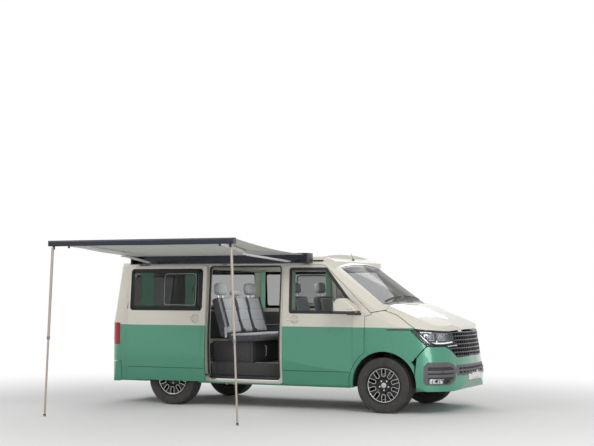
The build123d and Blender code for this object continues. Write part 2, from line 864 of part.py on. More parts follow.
# Tailgate and its pane, from behind
with BuildSketch() as gate_window:
    Polygon((-690, 1190), (-640, 1745), (640, 1745), (690, 1190), align=None)
    fillet(gate_window.vertices(), radius=50)
with BuildSketch() as gate_outline:
    Polygon((-775, 562), (-775, DOOR_TOP), (775, DOOR_TOP), (775, 562), align=None)
with BuildSketch() as gate_core:
    Polygon((-757, 572), (-757, DOOR_TOP - 2), (757, DOOR_TOP - 2), (757, 572), align=None)
TAIL_DEPTH = 480
with BuildPart() as tailgate:
    add(
        door_panel(
            edge=gate_outline.sketch,
            frame=gate_core.sketch,
            opening=offset(gate_window.sketch, amount=1),
            ledge=offset(gate_window.sketch, amount=-18),
            plane=TAIL,
            depth=TAIL_DEPTH,
        )
    )
tailgate.part.label = "tailgate"
with BuildPart() as tailgate_glass:
    add(cut_out(PANE, gate_window.sketch, TAIL, TAIL_DEPTH))
tailgate_glass.part.label = "tailgate_glass"

# Lifting roof: a domed shell over the roof opening, hinged at its tail edge
POP_REAR = -2190
POP_FRONT = 684
POP_LOW = 1908
with BuildSketch() as dome_side:
    with BuildLine():
        Polyline((POP_REAR, 1900), (POP_REAR, 1958))
        ThreePointArc((POP_REAR, 1958), (-900, 1986), (200, ROOF_TOP))
        ThreePointArc((200, ROOF_TOP), (560, 1978), (860, 1890))
        Polyline((860, 1890), (860, 1800), (POP_REAR, 1800), (POP_REAR, 1900))
    make_face()
with BuildSketch() as dome_front:
    with BuildLine():
        Polyline((0, 1800), (808, 1800), (808, 1905), (770, 1950))
        ThreePointArc((770, 1950), (420, 1982), (0, ROOF_TOP + 1))
        mirror(about=Plane.YZ)
    make_face()


def dome(inset):
    with BuildPart() as shell:
        with BuildSketch(Plane.XZ.offset(-1200)):
            add(dome_side.sketch)
            if inset:
                offset(amount=-inset)
        extrude(amount=2400)
        with BuildSketch(Plane.YZ.offset(-2600)):
            add(dome_front.sketch)
            if inset:
                offset(amount=-inset)
        extrude(amount=3600, mode=Mode.INTERSECT)
    return shell.part


dome_outer = dome(0)
dome_inner = dome(26)
with BuildPart() as pop_roof:
    add(dome_outer)
    add(dome_inner, mode=Mode.SUBTRACT)
    with BuildSketch(Plane.XY.offset(1700)):
        Rectangle(6000, 2400)
    extrude(amount=POP_LOW - 1700, mode=Mode.SUBTRACT)
    with BuildSketch(Plane.YZ.offset(POP_FRONT)):
        with Locations((0, 1900)):
            Rectangle(2400, 400)
    extrude(amount=400, mode=Mode.SUBTRACT)
    with BuildSketch(Plane.YZ.offset(POP_FRONT - 26)):
        add(dome_front.sketch)
        with Locations((0, 1800)):
            Rectangle(2400, 2 * (POP_LOW - 1800), mode=Mode.SUBTRACT)
    extrude(amount=26)
pop_roof.part.label = "pop_roof"

# Fixed cap between the lifting roof and the windscreen
with BuildPart() as roof_cap:
    add(dome_outer)
    with BuildSketch(Plane.YZ.offset(-3000)):
        with Locations((0, 1900)):
            Rectangle(2400, 600)
    extrude(amount=3000 + POP_FRONT + GAP, mode=Mode.SUBTRACT)
    add(FORMS[0], mode=Mode.SUBTRACT)
roof_cap.part.label = "roof_cap"

# Folded bellows between the roof and the shell
with BuildPart() as roof_bellows:
    with BuildSketch(Plane.XY.offset(1908)):
        with Locations((-750, 0)):
            RectangleRounded(2600, 1400, 100)
            RectangleRounded(2540, 1340, 80, mode=Mode.SUBTRACT)
    extrude(amount=22)
roof_bellows.part.label = "roof_bellows"

# Bed board in the roof opening
with BuildPart() as roof_bed:
    with BuildSketch(Plane.XY.offset(1846)):
        with Locations((-1140, 0)):
            RectangleRounded(1600, 2 * ROOF_OPEN_HALF - 12, 60)
    extrude(amount=50)
roof_bed.part.label = "roof_bed"

# Wheels. Sections are drawn as (distance outward from the wheel's centre plane, radius).
TYRE_HALF = [
    (0, TYRE_R),
    (98, TYRE_R),
    (TYRE_W / 2, 305),
    (113, 255),
    (93, 232),
    (93, 216.5),
    (76, 216.5),
    (97, 258),
    (97, 318),
    (88, 325),
    (0, 325),
]
BARREL_HALF = [
    (0, 204),
    (60, 204),
    (75, 216.2),
    (95, 216.2),
    (95, RIM_R),
    (103, RIM_R),
    (103, 216),
    (80, 207),
    (66, 196),
    (0, 196),
]
SPOKE_FACE = 84
SPOKE_BACK = 60
FACE = [
    (0, 0),
    (76, 0),
    (76, 30),
    (66, 40),
    (66, 86),
    (SPOKE_FACE, 104),
    (SPOKE_FACE, 202),
    (SPOKE_BACK, 202),
    (SPOKE_BACK, 104),
    (42, 84),
    (-20, 78),
    (-20, 34.4),
    (0, 34.4),
]
SPOKES = 10
SLOT_MIDDLE_R = 152
SLOT_L = 84
SLOT_W = 42
# Name, axle, side
CORNERS = [
    ("front_right", FRONT_AXLE, 1),
    ("front_left", FRONT_AXLE, -1),
    ("rear_right", REAR_AXLE, 1),
    ("rear_left", REAR_AXLE, -1),
]


def wheel_plane(axle, side):
    """Plane through the wheel's axis: x outward, y up."""
    return Plane(origin=(axle, -side * WHEEL_Y, TYRE_R), x_dir=(0, -side, 0), z_dir=(-side, 0, 0))


def wheel_axis(axle):
    return Axis((axle, 0, TYRE_R), (0, 1, 0))


def tyre(axle, side):
    with BuildPart() as ring:
        with BuildSketch(wheel_plane(axle, side)):
            with BuildLine():
                Polyline(*TYRE_HALF)
                mirror(about=Plane.YZ)
            make_face()
        revolve(axis=wheel_axis(axle))
    return ring.part


def rim(axle, side):
    with BuildPart() as wheel:
        with BuildSketch(wheel_plane(axle, side)):
            with BuildLine():
                Polyline(*BARREL_HALF)
                mirror(about=Plane.YZ)
            make_face()
        revolve(axis=wheel_axis(axle))
        with BuildSketch(wheel_plane(axle, side)):
            Polygon(*FACE, align=None)
        revolve(axis=wheel_axis(axle))
        # Slots between the spokes, round towards the hub
        slot_from = (axle, -side * (WHEEL_Y + 50), TYRE_R)
        with BuildSketch(Plane(origin=slot_from, x_dir=(0, 0, 1), z_dir=(0, -side, 0))):
            with PolarLocations(SLOT_MIDDLE_R, SPOKES):
                SlotOverall(SLOT_L, SLOT_W)
        extrude(amount=60, mode=Mode.SUBTRACT)
    return wheel.part


wheel_parts = []
for corner, axle, side in CORNERS:
    wheel_tyre = tyre(axle, side)
    wheel_tyre.label = f"tyre_{corner}"
    wheel_rim = rim(axle, side)
    wheel_rim.label = f"rim_{corner}"
    wheel_parts += [wheel_tyre, wheel_rim]

# Hub, brake disc and bearing housing behind a wheel, as (distance outward, radius)
HUB = [
    (-99, 0),
    (-99, 48),
    (-54, 48),
    (-54, 150),
    (-32, 150),
    (-32, 75),
    (-20.5, 75),
    (-20.5, 34),
    (-3, 34),
    (-3, 0),
]


def hub(axle, side):
    with BuildPart() as carrier:
        with BuildSketch(wheel_plane(axle, side)):
            Polygon(*HUB, align=None)
        revolve(axis=wheel_axis(axle))
    return carrier.part


def front_knuckle(side):
    """Hub on an upright that turns about the kingpin line."""
    with BuildPart() as knuckle:
        add(hub(FRONT_AXLE, side))
        with BuildSketch(Plane.XZ.offset(side * 712)):
            with Locations((FRONT_AXLE, 352)):
                RectangleRounded(80, 304, 30)
        extrude(amount=side * 40)
        with BuildSketch(Plane.XZ.offset(side * 740)):
            with Locations((FRONT_AXLE - 120, TYRE_R)):
                RectangleRounded(60, 120, 20)
        extrude(amount=side * 50)
        with BuildSketch(Plane.XZ.offset(side * 725)):
            with Locations((FRONT_AXLE - 70, TYRE_R)):
                Rectangle(120, 50)
        extrude(amount=side * 27)
    return knuckle.part


with BuildPart() as right_knuckle:
    add(front_knuckle(1))
right_knuckle.part.label = "right_knuckle"
with BuildPart() as left_knuckle:
    add(front_knuckle(-1))
left_knuckle.part.label = "left_knuckle"

# Front subframe: crossmember, wishbones, struts, side rails and crash beam
with BuildPart() as front_subframe:
    with BuildSketch(Plane.XY.offset(215)):
        with Locations((1545, 0)):
            Rectangle(390, 800)
    extrude(amount=60)
    for side in (1, -1):
        with BuildSketch(Plane.XY.offset(171)):
            with Locations((1545, -side * 560)):
                Rectangle(60, 380)
            with Locations((1545, -side * 385)):
                Rectangle(300, 60)
        extrude(amount=20)
        with BuildSketch(Plane.XY.offset(171)):
            with Locations((1545, -side * 385)):
                Rectangle(60, 50)
        extrude(amount=60)
        # Ball stud on the line that the wheel steers about
        with BuildSketch(Plane.XY.offset(180)):
            with Locations((FRONT_AXLE, -side * KINGPIN_Y)):
                Circle(14)
        extrude(amount=19)
        with BuildSketch(Plane.XY.offset(440)):
            with Locations((1770, -side * 425)):
                Rectangle(1100, 70)
        extrude(amount=100)
        with BuildSketch(Plane.XY.offset(260)):
            with Locations((1400, -side * 425), (1690, -side * 425)):
                Rectangle(60, 60)
        extrude(amount=200)
        with BuildSketch(Plane.XY.offset(505)):
            with Locations((FRONT_AXLE, -side * 680)):
                Rectangle(40, 120)
        extrude(amount=18)
        with BuildSketch(Plane.XY.offset(505)):
            with Locations((FRONT_AXLE, -side * 620)):
                Circle(25)
        extrude(amount=400)
        with BuildSketch(Plane.XY.offset(720)):
            with Locations((FRONT_AXLE, -side * 600)):
                Circle(60)
        extrude(amount=190)
        with BuildSketch(Plane.XY.offset(900)):
            with Locations((FRONT_AXLE, -side * 555)):
                Rectangle(220, 230)
        extrude(amount=20)
        with BuildSketch(Plane.XY.offset(530)):
            with Locations((FRONT_AXLE, -side * 448)):
                Rectangle(320, 14)
        extrude(amount=385)
    with BuildSketch(Plane.XY.offset(440)):
        with Locations((2315, 0)):
            Rectangle(40, 1060)
        with Locations((2215, 0)):
            Rectangle(40, 800)
    extrude(amount=100)
    with BuildSketch(Plane.XY.offset(440)):
        with Locations((2215, 0)):
            Rectangle(40, 780)
    extrude(amount=520)
front_subframe.part.label = "front_subframe"

with BuildPart() as engine_block:
    with BuildSketch(Plane.XY.offset(275)):
        with Locations((1670, 0)):
            RectangleRounded(460, 740, 30)
    extrude(amount=690)
engine_block.part.label = "engine_block"

# Rear axle: crosstube, trailing arms, hubs and dampers
with BuildPart() as rear_axle:
    with BuildSketch(Plane.XY.offset(330)):
        with Locations((-1200, 0)):
            Rectangle(80, 1000)
    extrude(amount=70)
    for side in (1, -1):
        with BuildSketch(Plane.XY.offset(318)):
            Polygon(
                (-1170, -side * 430),
                (-1240, -side * 360),
                (-1500, -side * 600),
                (-1500, -side * 716),
                (-1410, -side * 716),
                (-1400, -side * 600),
                (-1170, -side * 500),
                align=None,
            )
        extrude(amount=56)
        with BuildSketch(Plane.XY.offset(360)):
            with Locations((REAR_AXLE, -side * 590)):
                Circle(26)
        extrude(amount=416)
        add(hub(REAR_AXLE, side))
rear_axle.part.label = "rear_axle"

with BuildPart() as exhaust:
    with BuildSketch(Plane.YZ.offset(-2230)):
        with Locations((230, 296)):
            Circle(25)
    extrude(amount=3290)
    with BuildSketch(Plane.YZ.offset(-2150)):
        with Locations((290, 330)):
            RectangleRounded(330, 120, 55)
    extrude(amount=420)
    with BuildSketch(Plane.YZ.offset(120)):
        with Locations((230, 300)):
            RectangleRounded(180, 90, 40)
    extrude(amount=380)
    with BuildSketch(Plane.XY.offset(300)):
        with Locations((900, 230), (-100, 230), (-800, 230), (-2200, 230)):
            Rectangle(30, 12)
    extrude(amount=100)
exhaust.part.label = "exhaust"

# Front arch liners
with BuildPart() as arch_liners:
    for side in (1, -1):
        with BuildSketch(Plane.XZ.offset(side * 690)):
            with Locations(ARCHES["front"]):
                Circle(431)
                Circle(425, mode=Mode.SUBTRACT)
            with Locations((1556, 100)):
                Rectangle(1100, 420, mode=Mode.SUBTRACT)
        extrude(amount=side * 176)
arch_liners.part.label = "arch_liners"

# Seats. Front seats as (centre Y); the bench spans BENCH_Y
SEAT_Y = (-410, 410)
BENCH_Y = (-740, 480)
with BuildPart() as seat_bases:
    for y in SEAT_Y:
        with BuildSketch(Plane.XY.offset(FLOOR_TOP)):
            with Locations((560, y)):
                RectangleRounded(430, 440, 40)
        extrude(amount=204)
    with BuildSketch(Plane.XY.offset(FLOOR_TOP)):
        with Locations((-695, -40)):
            RectangleRounded(610, 1200, 30)
    extrude(amount=289)
seat_bases.part.label = "seat_bases"

# Seat sections from the side: cushion with back, and headrest
FRONT_SEAT = [(300, 765), (830, 775), (850, 900), (800, 915), (330, 880), (215, 1460), (95, 1450), (190, 800)]
FRONT_REST = [(60, 1480), (170, 1480), (165, 1640), (75, 1640)]
BENCH = [(-250, 850), (-250, 940), (-290, 955), (-700, 935), (-845, 1430), (-985, 1420), (-860, 850)]
BENCH_RESTS = [(-580, 280, 1622), (-136, 230, 1530), (310, 280, 1622)]
with BuildPart() as seat_cushions:
    for y in SEAT_Y:
        with BuildSketch(Plane.XZ.offset(-y - 255)):
            Polygon(*FRONT_SEAT, align=None)
        extrude(amount=510)
        with BuildSketch(Plane.XZ.offset(-y - 140)):
            Polygon(*FRONT_REST, align=None)
        extrude(amount=280)
        with BuildSketch(Plane.XY.offset(1440)):
            with Locations((120, y - 60), (120, y + 60)):
                Circle(7)
        extrude(amount=60)
    with BuildSketch(Plane.XZ.offset(-BENCH_Y[1])):
        Polygon(*BENCH, align=None)
    extrude(amount=BENCH_Y[1] - BENCH_Y[0])
    for y, width, top in BENCH_RESTS:
        with BuildSketch(Plane.XY.offset(1440)):
            with Locations((-915, y)):
                RectangleRounded(110, width, 40)
        extrude(amount=top - 1440)
        with BuildSketch(Plane.XY.offset(1400)):
            with Locations((-915, y - 60), (-915, y + 60)):
                Circle(7)
        extrude(amount=60)
seat_cushions.part.label = "seat_cushions"

# Dashboard and steering wheel, left-hand drive
DASH = [
    (1180, 820),
    (1180, 1178),
    (1440, 1205),
    (1440, 1235),
    (1120, 1262),
    (960, 1215),
    (930, 1130),
    (985, 1040),
    (1010, 820),
]
with BuildPart() as dashboard:
    with BuildSketch(Plane.XZ.offset(-800)):
        Polygon(*DASH, align=None)
    extrude(amount=1600)
    with BuildSketch(Plane.XZ.offset(-170)):
        Polygon((1180, 600), (1180, 830), (1000, 830), (1010, 600), align=None)
    extrude(amount=340)
dashboard.part.label = "dashboard"

WHEEL_TILT = 28
STEER_AT = (855, 410, 1090)
STEER_AXIS = (-cos(radians(WHEEL_TILT)), 0, sin(radians(WHEEL_TILT)))
steer_plane = Plane(origin=STEER_AT, x_dir=(0, 1, 0), z_dir=STEER_AXIS)
with BuildPart() as steering_wheel:
    with BuildSketch(Plane(origin=STEER_AT, x_dir=(0, 1, 0), z_dir=steer_plane.y_dir)):
        with Locations((180, 0)):
            RegularPolygon(16, 8)
    revolve(axis=Axis(STEER_AT, steer_plane.z_dir))
    with BuildSketch(steer_plane.offset(-34)):
        Circle(62)
    extrude(amount=40)
    with BuildSketch(steer_plane.offset(-18)):
        Rectangle(350, 36)
        with Locations((0, -88)):
            Rectangle(34, 170)
    extrude(amount=16)
steering_wheel.part.label = "steering_wheel"

# Wipers: two blades along the foot of the windscreen, just over its crown
WIPER_X = 1490
WIPER_LIFT = 6
WIPER_TALL = 12
SCREEN_DROP = 525 / 730 * (890 - WIPER_X)
with BuildSketch() as wiper_band:
    with BuildLine():
        for lift in (WIPER_LIFT, WIPER_LIFT + WIPER_TALL):
            edge = 1775 + SCREEN_DROP + lift
            ThreePointArc((-845, edge), (0, edge + 96), (845, edge))
        for y in (845, -845):
            edge = 1775 + SCREEN_DROP + WIPER_LIFT
            Line((y, edge), (y, edge + WIPER_TALL))
    make_face()
with BuildSketch() as wiper_blades:
    add(wiper_band.sketch)
    with Locations((-420, 1400), (300, 1400)):
        Rectangle(560, 300, mode=Mode.INTERSECT)
with BuildPart() as wipers:
    with BuildSketch(Plane.YZ.offset(WIPER_X)):
        add(wiper_blades.sketch)
    extrude(amount=14, dir=SCREEN_RUN)
wipers.part.label = "wipers"

# Awning: case with an open front, shaped in YZ
TILT = atan2(WRIST_Z - SHOULDER_Z, SHOULDER_Y - WRIST_Y)
OUT = Vector(0, -cos(TILT), sin(TILT))
UPRIGHT = Vector(0, sin(TILT), cos(TILT))
with BuildPart() as awning_case:
    with BuildSketch(Plane.YZ.offset(AWNING_X - CASE_L / 2)):
        with BuildLine():
            Polyline(
                (CASE_FRONT, CASE_TOP),
                (CASE_BACK, CASE_TOP),
                (CASE_BACK, CASE_LOW),
                (CASE_FRONT, CASE_LOW),
                (CASE_FRONT, CASE_LOW + 8),
                (CASE_BACK - 10, CASE_LOW + 8),
                (CASE_BACK - 10, CASE_TOP - 8),
                (CASE_FRONT, CASE_TOP - 8),
                (CASE_FRONT, CASE_TOP),
            )
        make_face()
    extrude(amount=CASE_L)
    for x in (AWNING_X - CASE_L / 2, AWNING_X + CASE_L / 2 - 10):
        with BuildSketch(Plane.YZ.offset(x)):
            with Locations(((CASE_FRONT + CASE_BACK) / 2, (CASE_LOW + CASE_TOP) / 2)):
                Rectangle(CASE_BACK - CASE_FRONT, CASE_TOP - CASE_LOW)
        extrude(amount=10)
    # Brackets on the roof edge, and a post at each arm's shoulder
    with BuildSketch(Plane.XY.offset(1893)):
        with Locations((-1900, -870), (-715, -870), (470, -870)):
            Rectangle(80, 90)
    extrude(amount=14)
    for x in (AWNING_X - SHOULDER_X, AWNING_X + SHOULDER_X):
        shoulder = Vector(x, SHOULDER_Y, SHOULDER_Z)
        with BuildSketch(Plane(origin=shoulder - UPRIGHT * 31, z_dir=UPRIGHT)):
            Circle(12)
        extrude(amount=31 + 2)
awning_case.part.label = "awning_case"

# Arms: two links a side, the fore link above the rear one at the elbow
HALF_RUN = hypot(WRIST_Y - SHOULDER_Y, WRIST_Z - SHOULDER_Z) / 2
LINK = hypot(HALF_RUN, ELBOW_IN)
PIN_R = 12
EYE_R = 12.3


def arm_point(x, along, aside):
    """A point in the arms' plane: along the awning's slope, aside along X."""
    return Vector(x + aside, SHOULDER_Y, SHOULDER_Z) + OUT * along


def link_plane(origin, x_dir, level):
    return Plane(origin=origin + UPRIGHT * level, x_dir=x_dir, z_dir=UPRIGHT)


def arm_link(start, end, level, pins):
    """A flat link with an eye at each end, and a pin standing up from some eyes."""
    run = (end - start).normalized()
    with BuildPart() as link:
        with BuildSketch(link_plane((start + end) / 2, run, level)):
            SlotCenterToCenter((end - start).length, 40)
            for offset_x in (-LINK / 2, LINK / 2):
                with Locations((offset_x, 0)):
                    Circle(EYE_R, mode=Mode.SUBTRACT)
        extrude(amount=22)
        for place in pins:
            with BuildSketch(link_plane(place, run, level)):
                Circle(EYE_R + 0.5)
            extrude(amount=22)
            with BuildSketch(link_plane(place, run, level)):
                Circle(PIN_R)
            extrude(amount=50)
    return link.part


arm_parts = []
for end, sign in (("front", 1), ("rear", -1)):
    base_x = AWNING_X + sign * SHOULDER_X
    shoulder = arm_point(base_x, 0, 0)
    elbow = arm_point(base_x, HALF_RUN, -sign * ELBOW_IN)
    wrist = arm_point(base_x, 2 * HALF_RUN, 0)
    upper_arm = arm_link(shoulder, elbow, -26, [elbow])
    upper_arm.label = f"{end}_upper_arm"
    forearm = arm_link(elbow, wrist, 2, [])
    forearm.label = f"{end}_forearm"
    arm_parts += [upper_arm, forearm]

# Front bar with a bracket and pin for each wrist and a lug for each leg
BAR_DEEP = 90
BAR_TALL = 70
BAR_WALL = 4
LEG_PIN_R = 5
with BuildPart() as awning_bar:
    with BuildSketch(Plane.YZ.offset(AWNING_X - BAR_L / 2)):
        with Locations((BAR_Y, BAR_Z)):
            RectangleRounded(BAR_DEEP, BAR_TALL, 20)
    extrude(amount=BAR_L)
    with BuildSketch(Plane.YZ.offset(AWNING_X - BAR_L / 2 + BAR_WALL)):
        with Locations((BAR_Y, BAR_Z)):
            RectangleRounded(BAR_DEEP - 2 * BAR_WALL, BAR_TALL - 2 * BAR_WALL, 20 - BAR_WALL)
    extrude(amount=BAR_L - 2 * BAR_WALL, mode=Mode.SUBTRACT)
    for sign in (1, -1):
        wrist = arm_point(AWNING_X + sign * SHOULDER_X, 2 * HALF_RUN, 0)
        with BuildSketch(link_plane(wrist, (1, 0, 0), -18)):
            Circle(PIN_R)
        extrude(amount=60)
        with BuildSketch(link_plane(wrist, (1, 0, 0), 30)):
            with Locations((0, -20)):
                Rectangle(60, 80)
        extrude(amount=12)
        # Lug and cross pin for the leg on this end
        leg_top = AWNING_X + sign * LEG_TOP_X
        with BuildSketch(Plane.XZ.offset(-BAR_Y - 3)):
            with Locations((leg_top, 2026)):
                Rectangle(32, 48)
        extrude(amount=6)
        with BuildSketch(Plane.XZ.offset(-BAR_Y)):
            with Locations((leg_top, LEG_TOP_Z)):
                Circle(LEG_PIN_R)
        extrude(amount=-sign * 40)
awning_bar.part.label = "awning_bar"

# Legs: an outer tube on a cross pin under the bar, and an inner tube with a foot
LEG_LAP = 150
LEG_PLANES = {"front": BAR_Y + 24, "rear": BAR_Y - 24}
LEG_EYE_R = 5.3
leg_parts = []
for end, sign in (("front", 1), ("rear", -1)):
    top = Vector(AWNING_X + sign * LEG_TOP_X, LEG_PLANES[end], LEG_TOP_Z)
    foot = Vector(AWNING_X + sign * LEG_FOOT_X, LEG_PLANES[end], 0)
    down = (foot - top).normalized()
    outer_end = 1100
    leg_plane = Plane(origin=top, x_dir=(0, 1, 0), z_dir=down)
    with BuildPart() as leg_upper:
        with BuildSketch(leg_plane.offset(-12)):
            Circle(16)
        extrude(amount=outer_end + 12)
        with BuildSketch(leg_plane.offset(40)):
            Circle(12.5)
        extrude(amount=outer_end, mode=Mode.SUBTRACT)
        with BuildSketch(Plane.XZ.offset(-top.Y - 20)):
            with Locations((top.X, top.Z)):
                Circle(LEG_EYE_R)
        extrude(amount=40, mode=Mode.SUBTRACT)
    leg_upper.part.label = f"{end}_leg_upper"
    with BuildPart() as leg_lower:
        with BuildSketch(leg_plane.offset(outer_end - LEG_LAP)):
            Circle(12.1)
        extrude(amount=(foot - top).length - outer_end + LEG_LAP - 4)
        with BuildSketch(Plane.XY):
            with Locations((foot.X, foot.Y)):
                Circle(16)
        extrude(amount=12)
    leg_lower.part.label = f"{end}_leg_lower"
    leg_parts += [leg_upper.part, leg_lower.part]

# Canopy from the case's mouth to the bar's back
CANOPY = [(-1015, 1968), (-2939, 2098), (-2939, 2101), (-1015, 1971)]
with BuildPart() as awning_canopy:
    with BuildSketch(Plane.YZ.offset(AWNING_X - 1245)):
        Polygon(*CANOPY, align=None)
    extrude(amount=2490)
awning_canopy.part.label = "awning_canopy"

PIECES = [
    right_body_side,
    left_body_side,
    roof_frame,
    rear_frame,
    floor_pan,
    right_front_door,
    left_front_door,
    right_front_glass,
    left_front_glass,
    sliding_door,
    side_windows,
    windscreen,
    windscreen_frame,
    bulkhead,
    front_wings,
    bonnet,
    headlights,
    grille,
    front_bumper,
    bumper_trim,
    rear_bumper,
    tailgate,
    tailgate_glass,
    tail_lamps,
    pop_roof,
    roof_cap,
    roof_bellows,
    roof_bed,
    right_knuckle,
    left_knuckle,
    front_subframe,
    engine_block,
    rear_axle,
    exhaust,
    arch_liners,
    seat_bases,
    seat_cushions,
    dashboard,
    steering_wheel,
    wipers,
    awning_case,
    awning_bar,
    awning_canopy,
]
for piece in [piece.part for piece in PIECES] + wheel_parts + arm_parts + leg_parts:
    piece.position = (0, CENTRE_Y, 0)
    export_step(piece, f"parts/{piece.label}.step")
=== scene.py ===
import math
from functools import partial

import bmesh
import bpy
from mathutils import Matrix, Vector
from mathutils.bvhtree import BVHTree


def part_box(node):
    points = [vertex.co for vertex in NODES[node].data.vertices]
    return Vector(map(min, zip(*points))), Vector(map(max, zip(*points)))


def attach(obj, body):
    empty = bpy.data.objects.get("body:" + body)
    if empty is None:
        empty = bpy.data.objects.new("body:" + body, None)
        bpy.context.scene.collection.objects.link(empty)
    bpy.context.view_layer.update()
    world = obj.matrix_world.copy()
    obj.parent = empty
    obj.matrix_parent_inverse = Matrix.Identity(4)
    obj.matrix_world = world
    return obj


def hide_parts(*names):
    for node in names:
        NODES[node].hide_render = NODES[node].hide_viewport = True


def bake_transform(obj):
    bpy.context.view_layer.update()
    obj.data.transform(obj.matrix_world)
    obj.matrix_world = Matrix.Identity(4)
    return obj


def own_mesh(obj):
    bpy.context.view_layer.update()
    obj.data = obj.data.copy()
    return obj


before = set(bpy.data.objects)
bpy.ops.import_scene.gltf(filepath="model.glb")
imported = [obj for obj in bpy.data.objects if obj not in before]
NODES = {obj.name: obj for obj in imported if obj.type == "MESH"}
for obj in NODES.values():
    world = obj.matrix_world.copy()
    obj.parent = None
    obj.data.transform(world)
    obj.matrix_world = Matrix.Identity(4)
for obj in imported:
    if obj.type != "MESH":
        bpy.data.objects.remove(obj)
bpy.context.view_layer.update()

# The van's centre plane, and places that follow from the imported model. Metres.
SCREEN_LOW, SCREEN_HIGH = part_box("windscreen")
CY = (SCREEN_LOW.y + SCREEN_HIGH.y) / 2
BELT = 1.058
RIGHT = 1
LEFT = -1
AHEAD, ACROSS, UP = (Vector(axis) for axis in ((1, 0, 0), (0, 1, 0), (0, 0, 1)))


def at(x, y, z):
    """A point given from the van's own centre plane."""
    return Vector((x, y + CY, z))


# Nodes for materials


def feed(tree, socket, value):
    """Puts a number, a colour or another node's output into a socket."""
    if isinstance(value, bpy.types.NodeSocket):
        tree.links.new(value, socket)
    else:
        socket.default_value = (*value, 1) if socket.type == "RGBA" else value


def fill(tree, node, inputs):
    for name, value in inputs.items():
        feed(tree, node.inputs[name], value)


def add_node(tree, kind, inputs, **settings):
    """A shader node of one kind, with its settings and what goes into its inputs."""
    node = tree.nodes.new("ShaderNode" + kind)
    for name, value in settings.items():
        setattr(node, name, value)
    fill(tree, node, inputs)
    return node


def new_material(name):
    """A material, its tree, its shader, and the object coordinates that its patterns follow."""
    mat = bpy.data.materials.new(name)
    mat.use_nodes = True
    tree = mat.node_tree
    return mat, tree, tree.nodes["Principled BSDF"], add_node(tree, "TexCoord", {}).outputs["Object"]


def noise(tree, place, scale, detail=3.0, rough=0.5):
    inputs = {"Vector": place, "Scale": scale, "Detail": detail, "Roughness": rough}
    return add_node(tree, "TexNoise", inputs).outputs["Fac"]


def spread(tree, value, low, high):
    """Maps a 0 to 1 value onto low to high."""
    return add_node(tree, "MapRange", {"Value": value, "To Min": low, "To Max": high}).outputs["Result"]


def tinted(tree, value, dark, light, reach=0.2):
    """A colour that goes from dark to light as value goes from reach below one half to reach above it."""
    node = add_node(tree, "ValToRGB", {"Fac": value})
    for element, place, color in zip(node.color_ramp.elements, (0.5 - reach, 0.5 + reach), (dark, light)):
        element.position = place
        element.color = (*color, 1)
    return node.outputs["Color"]


def mixed(tree, share, one, two):
    """One colour where share is 0, two where it is 1. Each is a colour or a socket."""
    return add_node(tree, "Mix", {"Factor": share, 6: one, 7: two}, data_type="RGBA").outputs[2]


def math_node(tree, operation, one, two=0.0):
    return add_node(tree, "Math", {0: one, 1: two}, operation=operation).outputs[0]


def bumped(tree, shader, height, strength, distance=0.001):
    node = add_node(tree, "Bump", {"Strength": strength, "Distance": distance, "Height": height})
    feed(tree, shader.inputs["Normal"], node.outputs["Normal"])


def shade(color, factor):
    return tuple(min(1.0, c * factor) for c in color)


def surface(name, color, rough=0.5, metallic=0.0, grain=0.06, grain_scale=30.0, bump=0.1, bump_scale=400.0,
            coat=0.0, specular=0.5, rough_spread=0.08):
    """A solid material with a little variation of colour, gloss and height."""
    mat, tree, shader, place = new_material(name)
    wide = noise(tree, place, grain_scale)
    fill(tree, shader, {
        "Base Color": tinted(tree, wide, shade(color, 1 - grain), shade(color, 1 + grain)),
        "Roughness": spread(tree, wide, max(0.0, rough - rough_spread), min(1.0, rough + rough_spread)),
        "Metallic": metallic, "Specular IOR Level": specular, "Coat Weight": coat, "Coat Roughness": 0.04,
    })
    if bump:
        bumped(tree, shader, noise(tree, place, bump_scale, 2.0), bump)
    return mat


def cloth(name, dark, light, thread=0.0016, sheen=0.25, slub=0.12, glow=0.0):
    """Woven fabric: waves in three directions over a mottled colour. glow is painted light: an emission in
    the cloth's own colour that stands in for daylight through thin cloth.
    """
    mat, tree, shader, place = new_material(name)
    calc = partial(math_node, tree)
    inputs = {"Scale": 0.32 / thread, "Distortion": 0.6, "Vector": place}
    waves = [add_node(tree, "TexWave", inputs, bands_direction=way).outputs["Fac"] for way in "XYZ"]
    weave = calc("MULTIPLY", calc("ADD", waves[0], waves[1]), 0.5)
    weave = calc("MULTIPLY", calc("ADD", weave, waves[2]), 0.5)
    mottle = noise(tree, place, 160.0, 4.0, 0.6)
    both = calc("ADD", calc("MULTIPLY", weave, 1 - slub * 3), calc("MULTIPLY", mottle, slub * 3))
    tint = tinted(tree, both, dark, light, 0.25)
    fill(tree, shader, {"Base Color": tint, "Roughness": 0.9, "Sheen Weight": sheen, "Sheen Roughness": 0.5})
    # Painted light: the cloth glows in its own colour as if lit through from behind
    if glow:
        fill(tree, shader, {"Emission Color": tint, "Emission Strength": glow})
    bumped(tree, shader, both, 0.5, 0.0008)
    return mat


CREAM = (0.69, 0.66, 0.58)
GREEN = (0.055, 0.27, 0.17)
DARK = (0.045, 0.045, 0.05)
FLAKE_METAL = 0.35
# Where the mirrors and the sliding door's sill arm begin, and how high they are dark
MIRROR_FROM, MIRROR_SPLIT = 0.975, 1.266
ARM_FROM, ARM_TOP = -0.904, 0.45
# The body's half width as a curve of height, from its section
SILL_Z, SILL_HALF, WAIST_Z = 0.33, 0.915, 0.7
FACE_BOW, FACE_DROP, JAMB_DEPTH = 0.0918, -0.148, 0.014


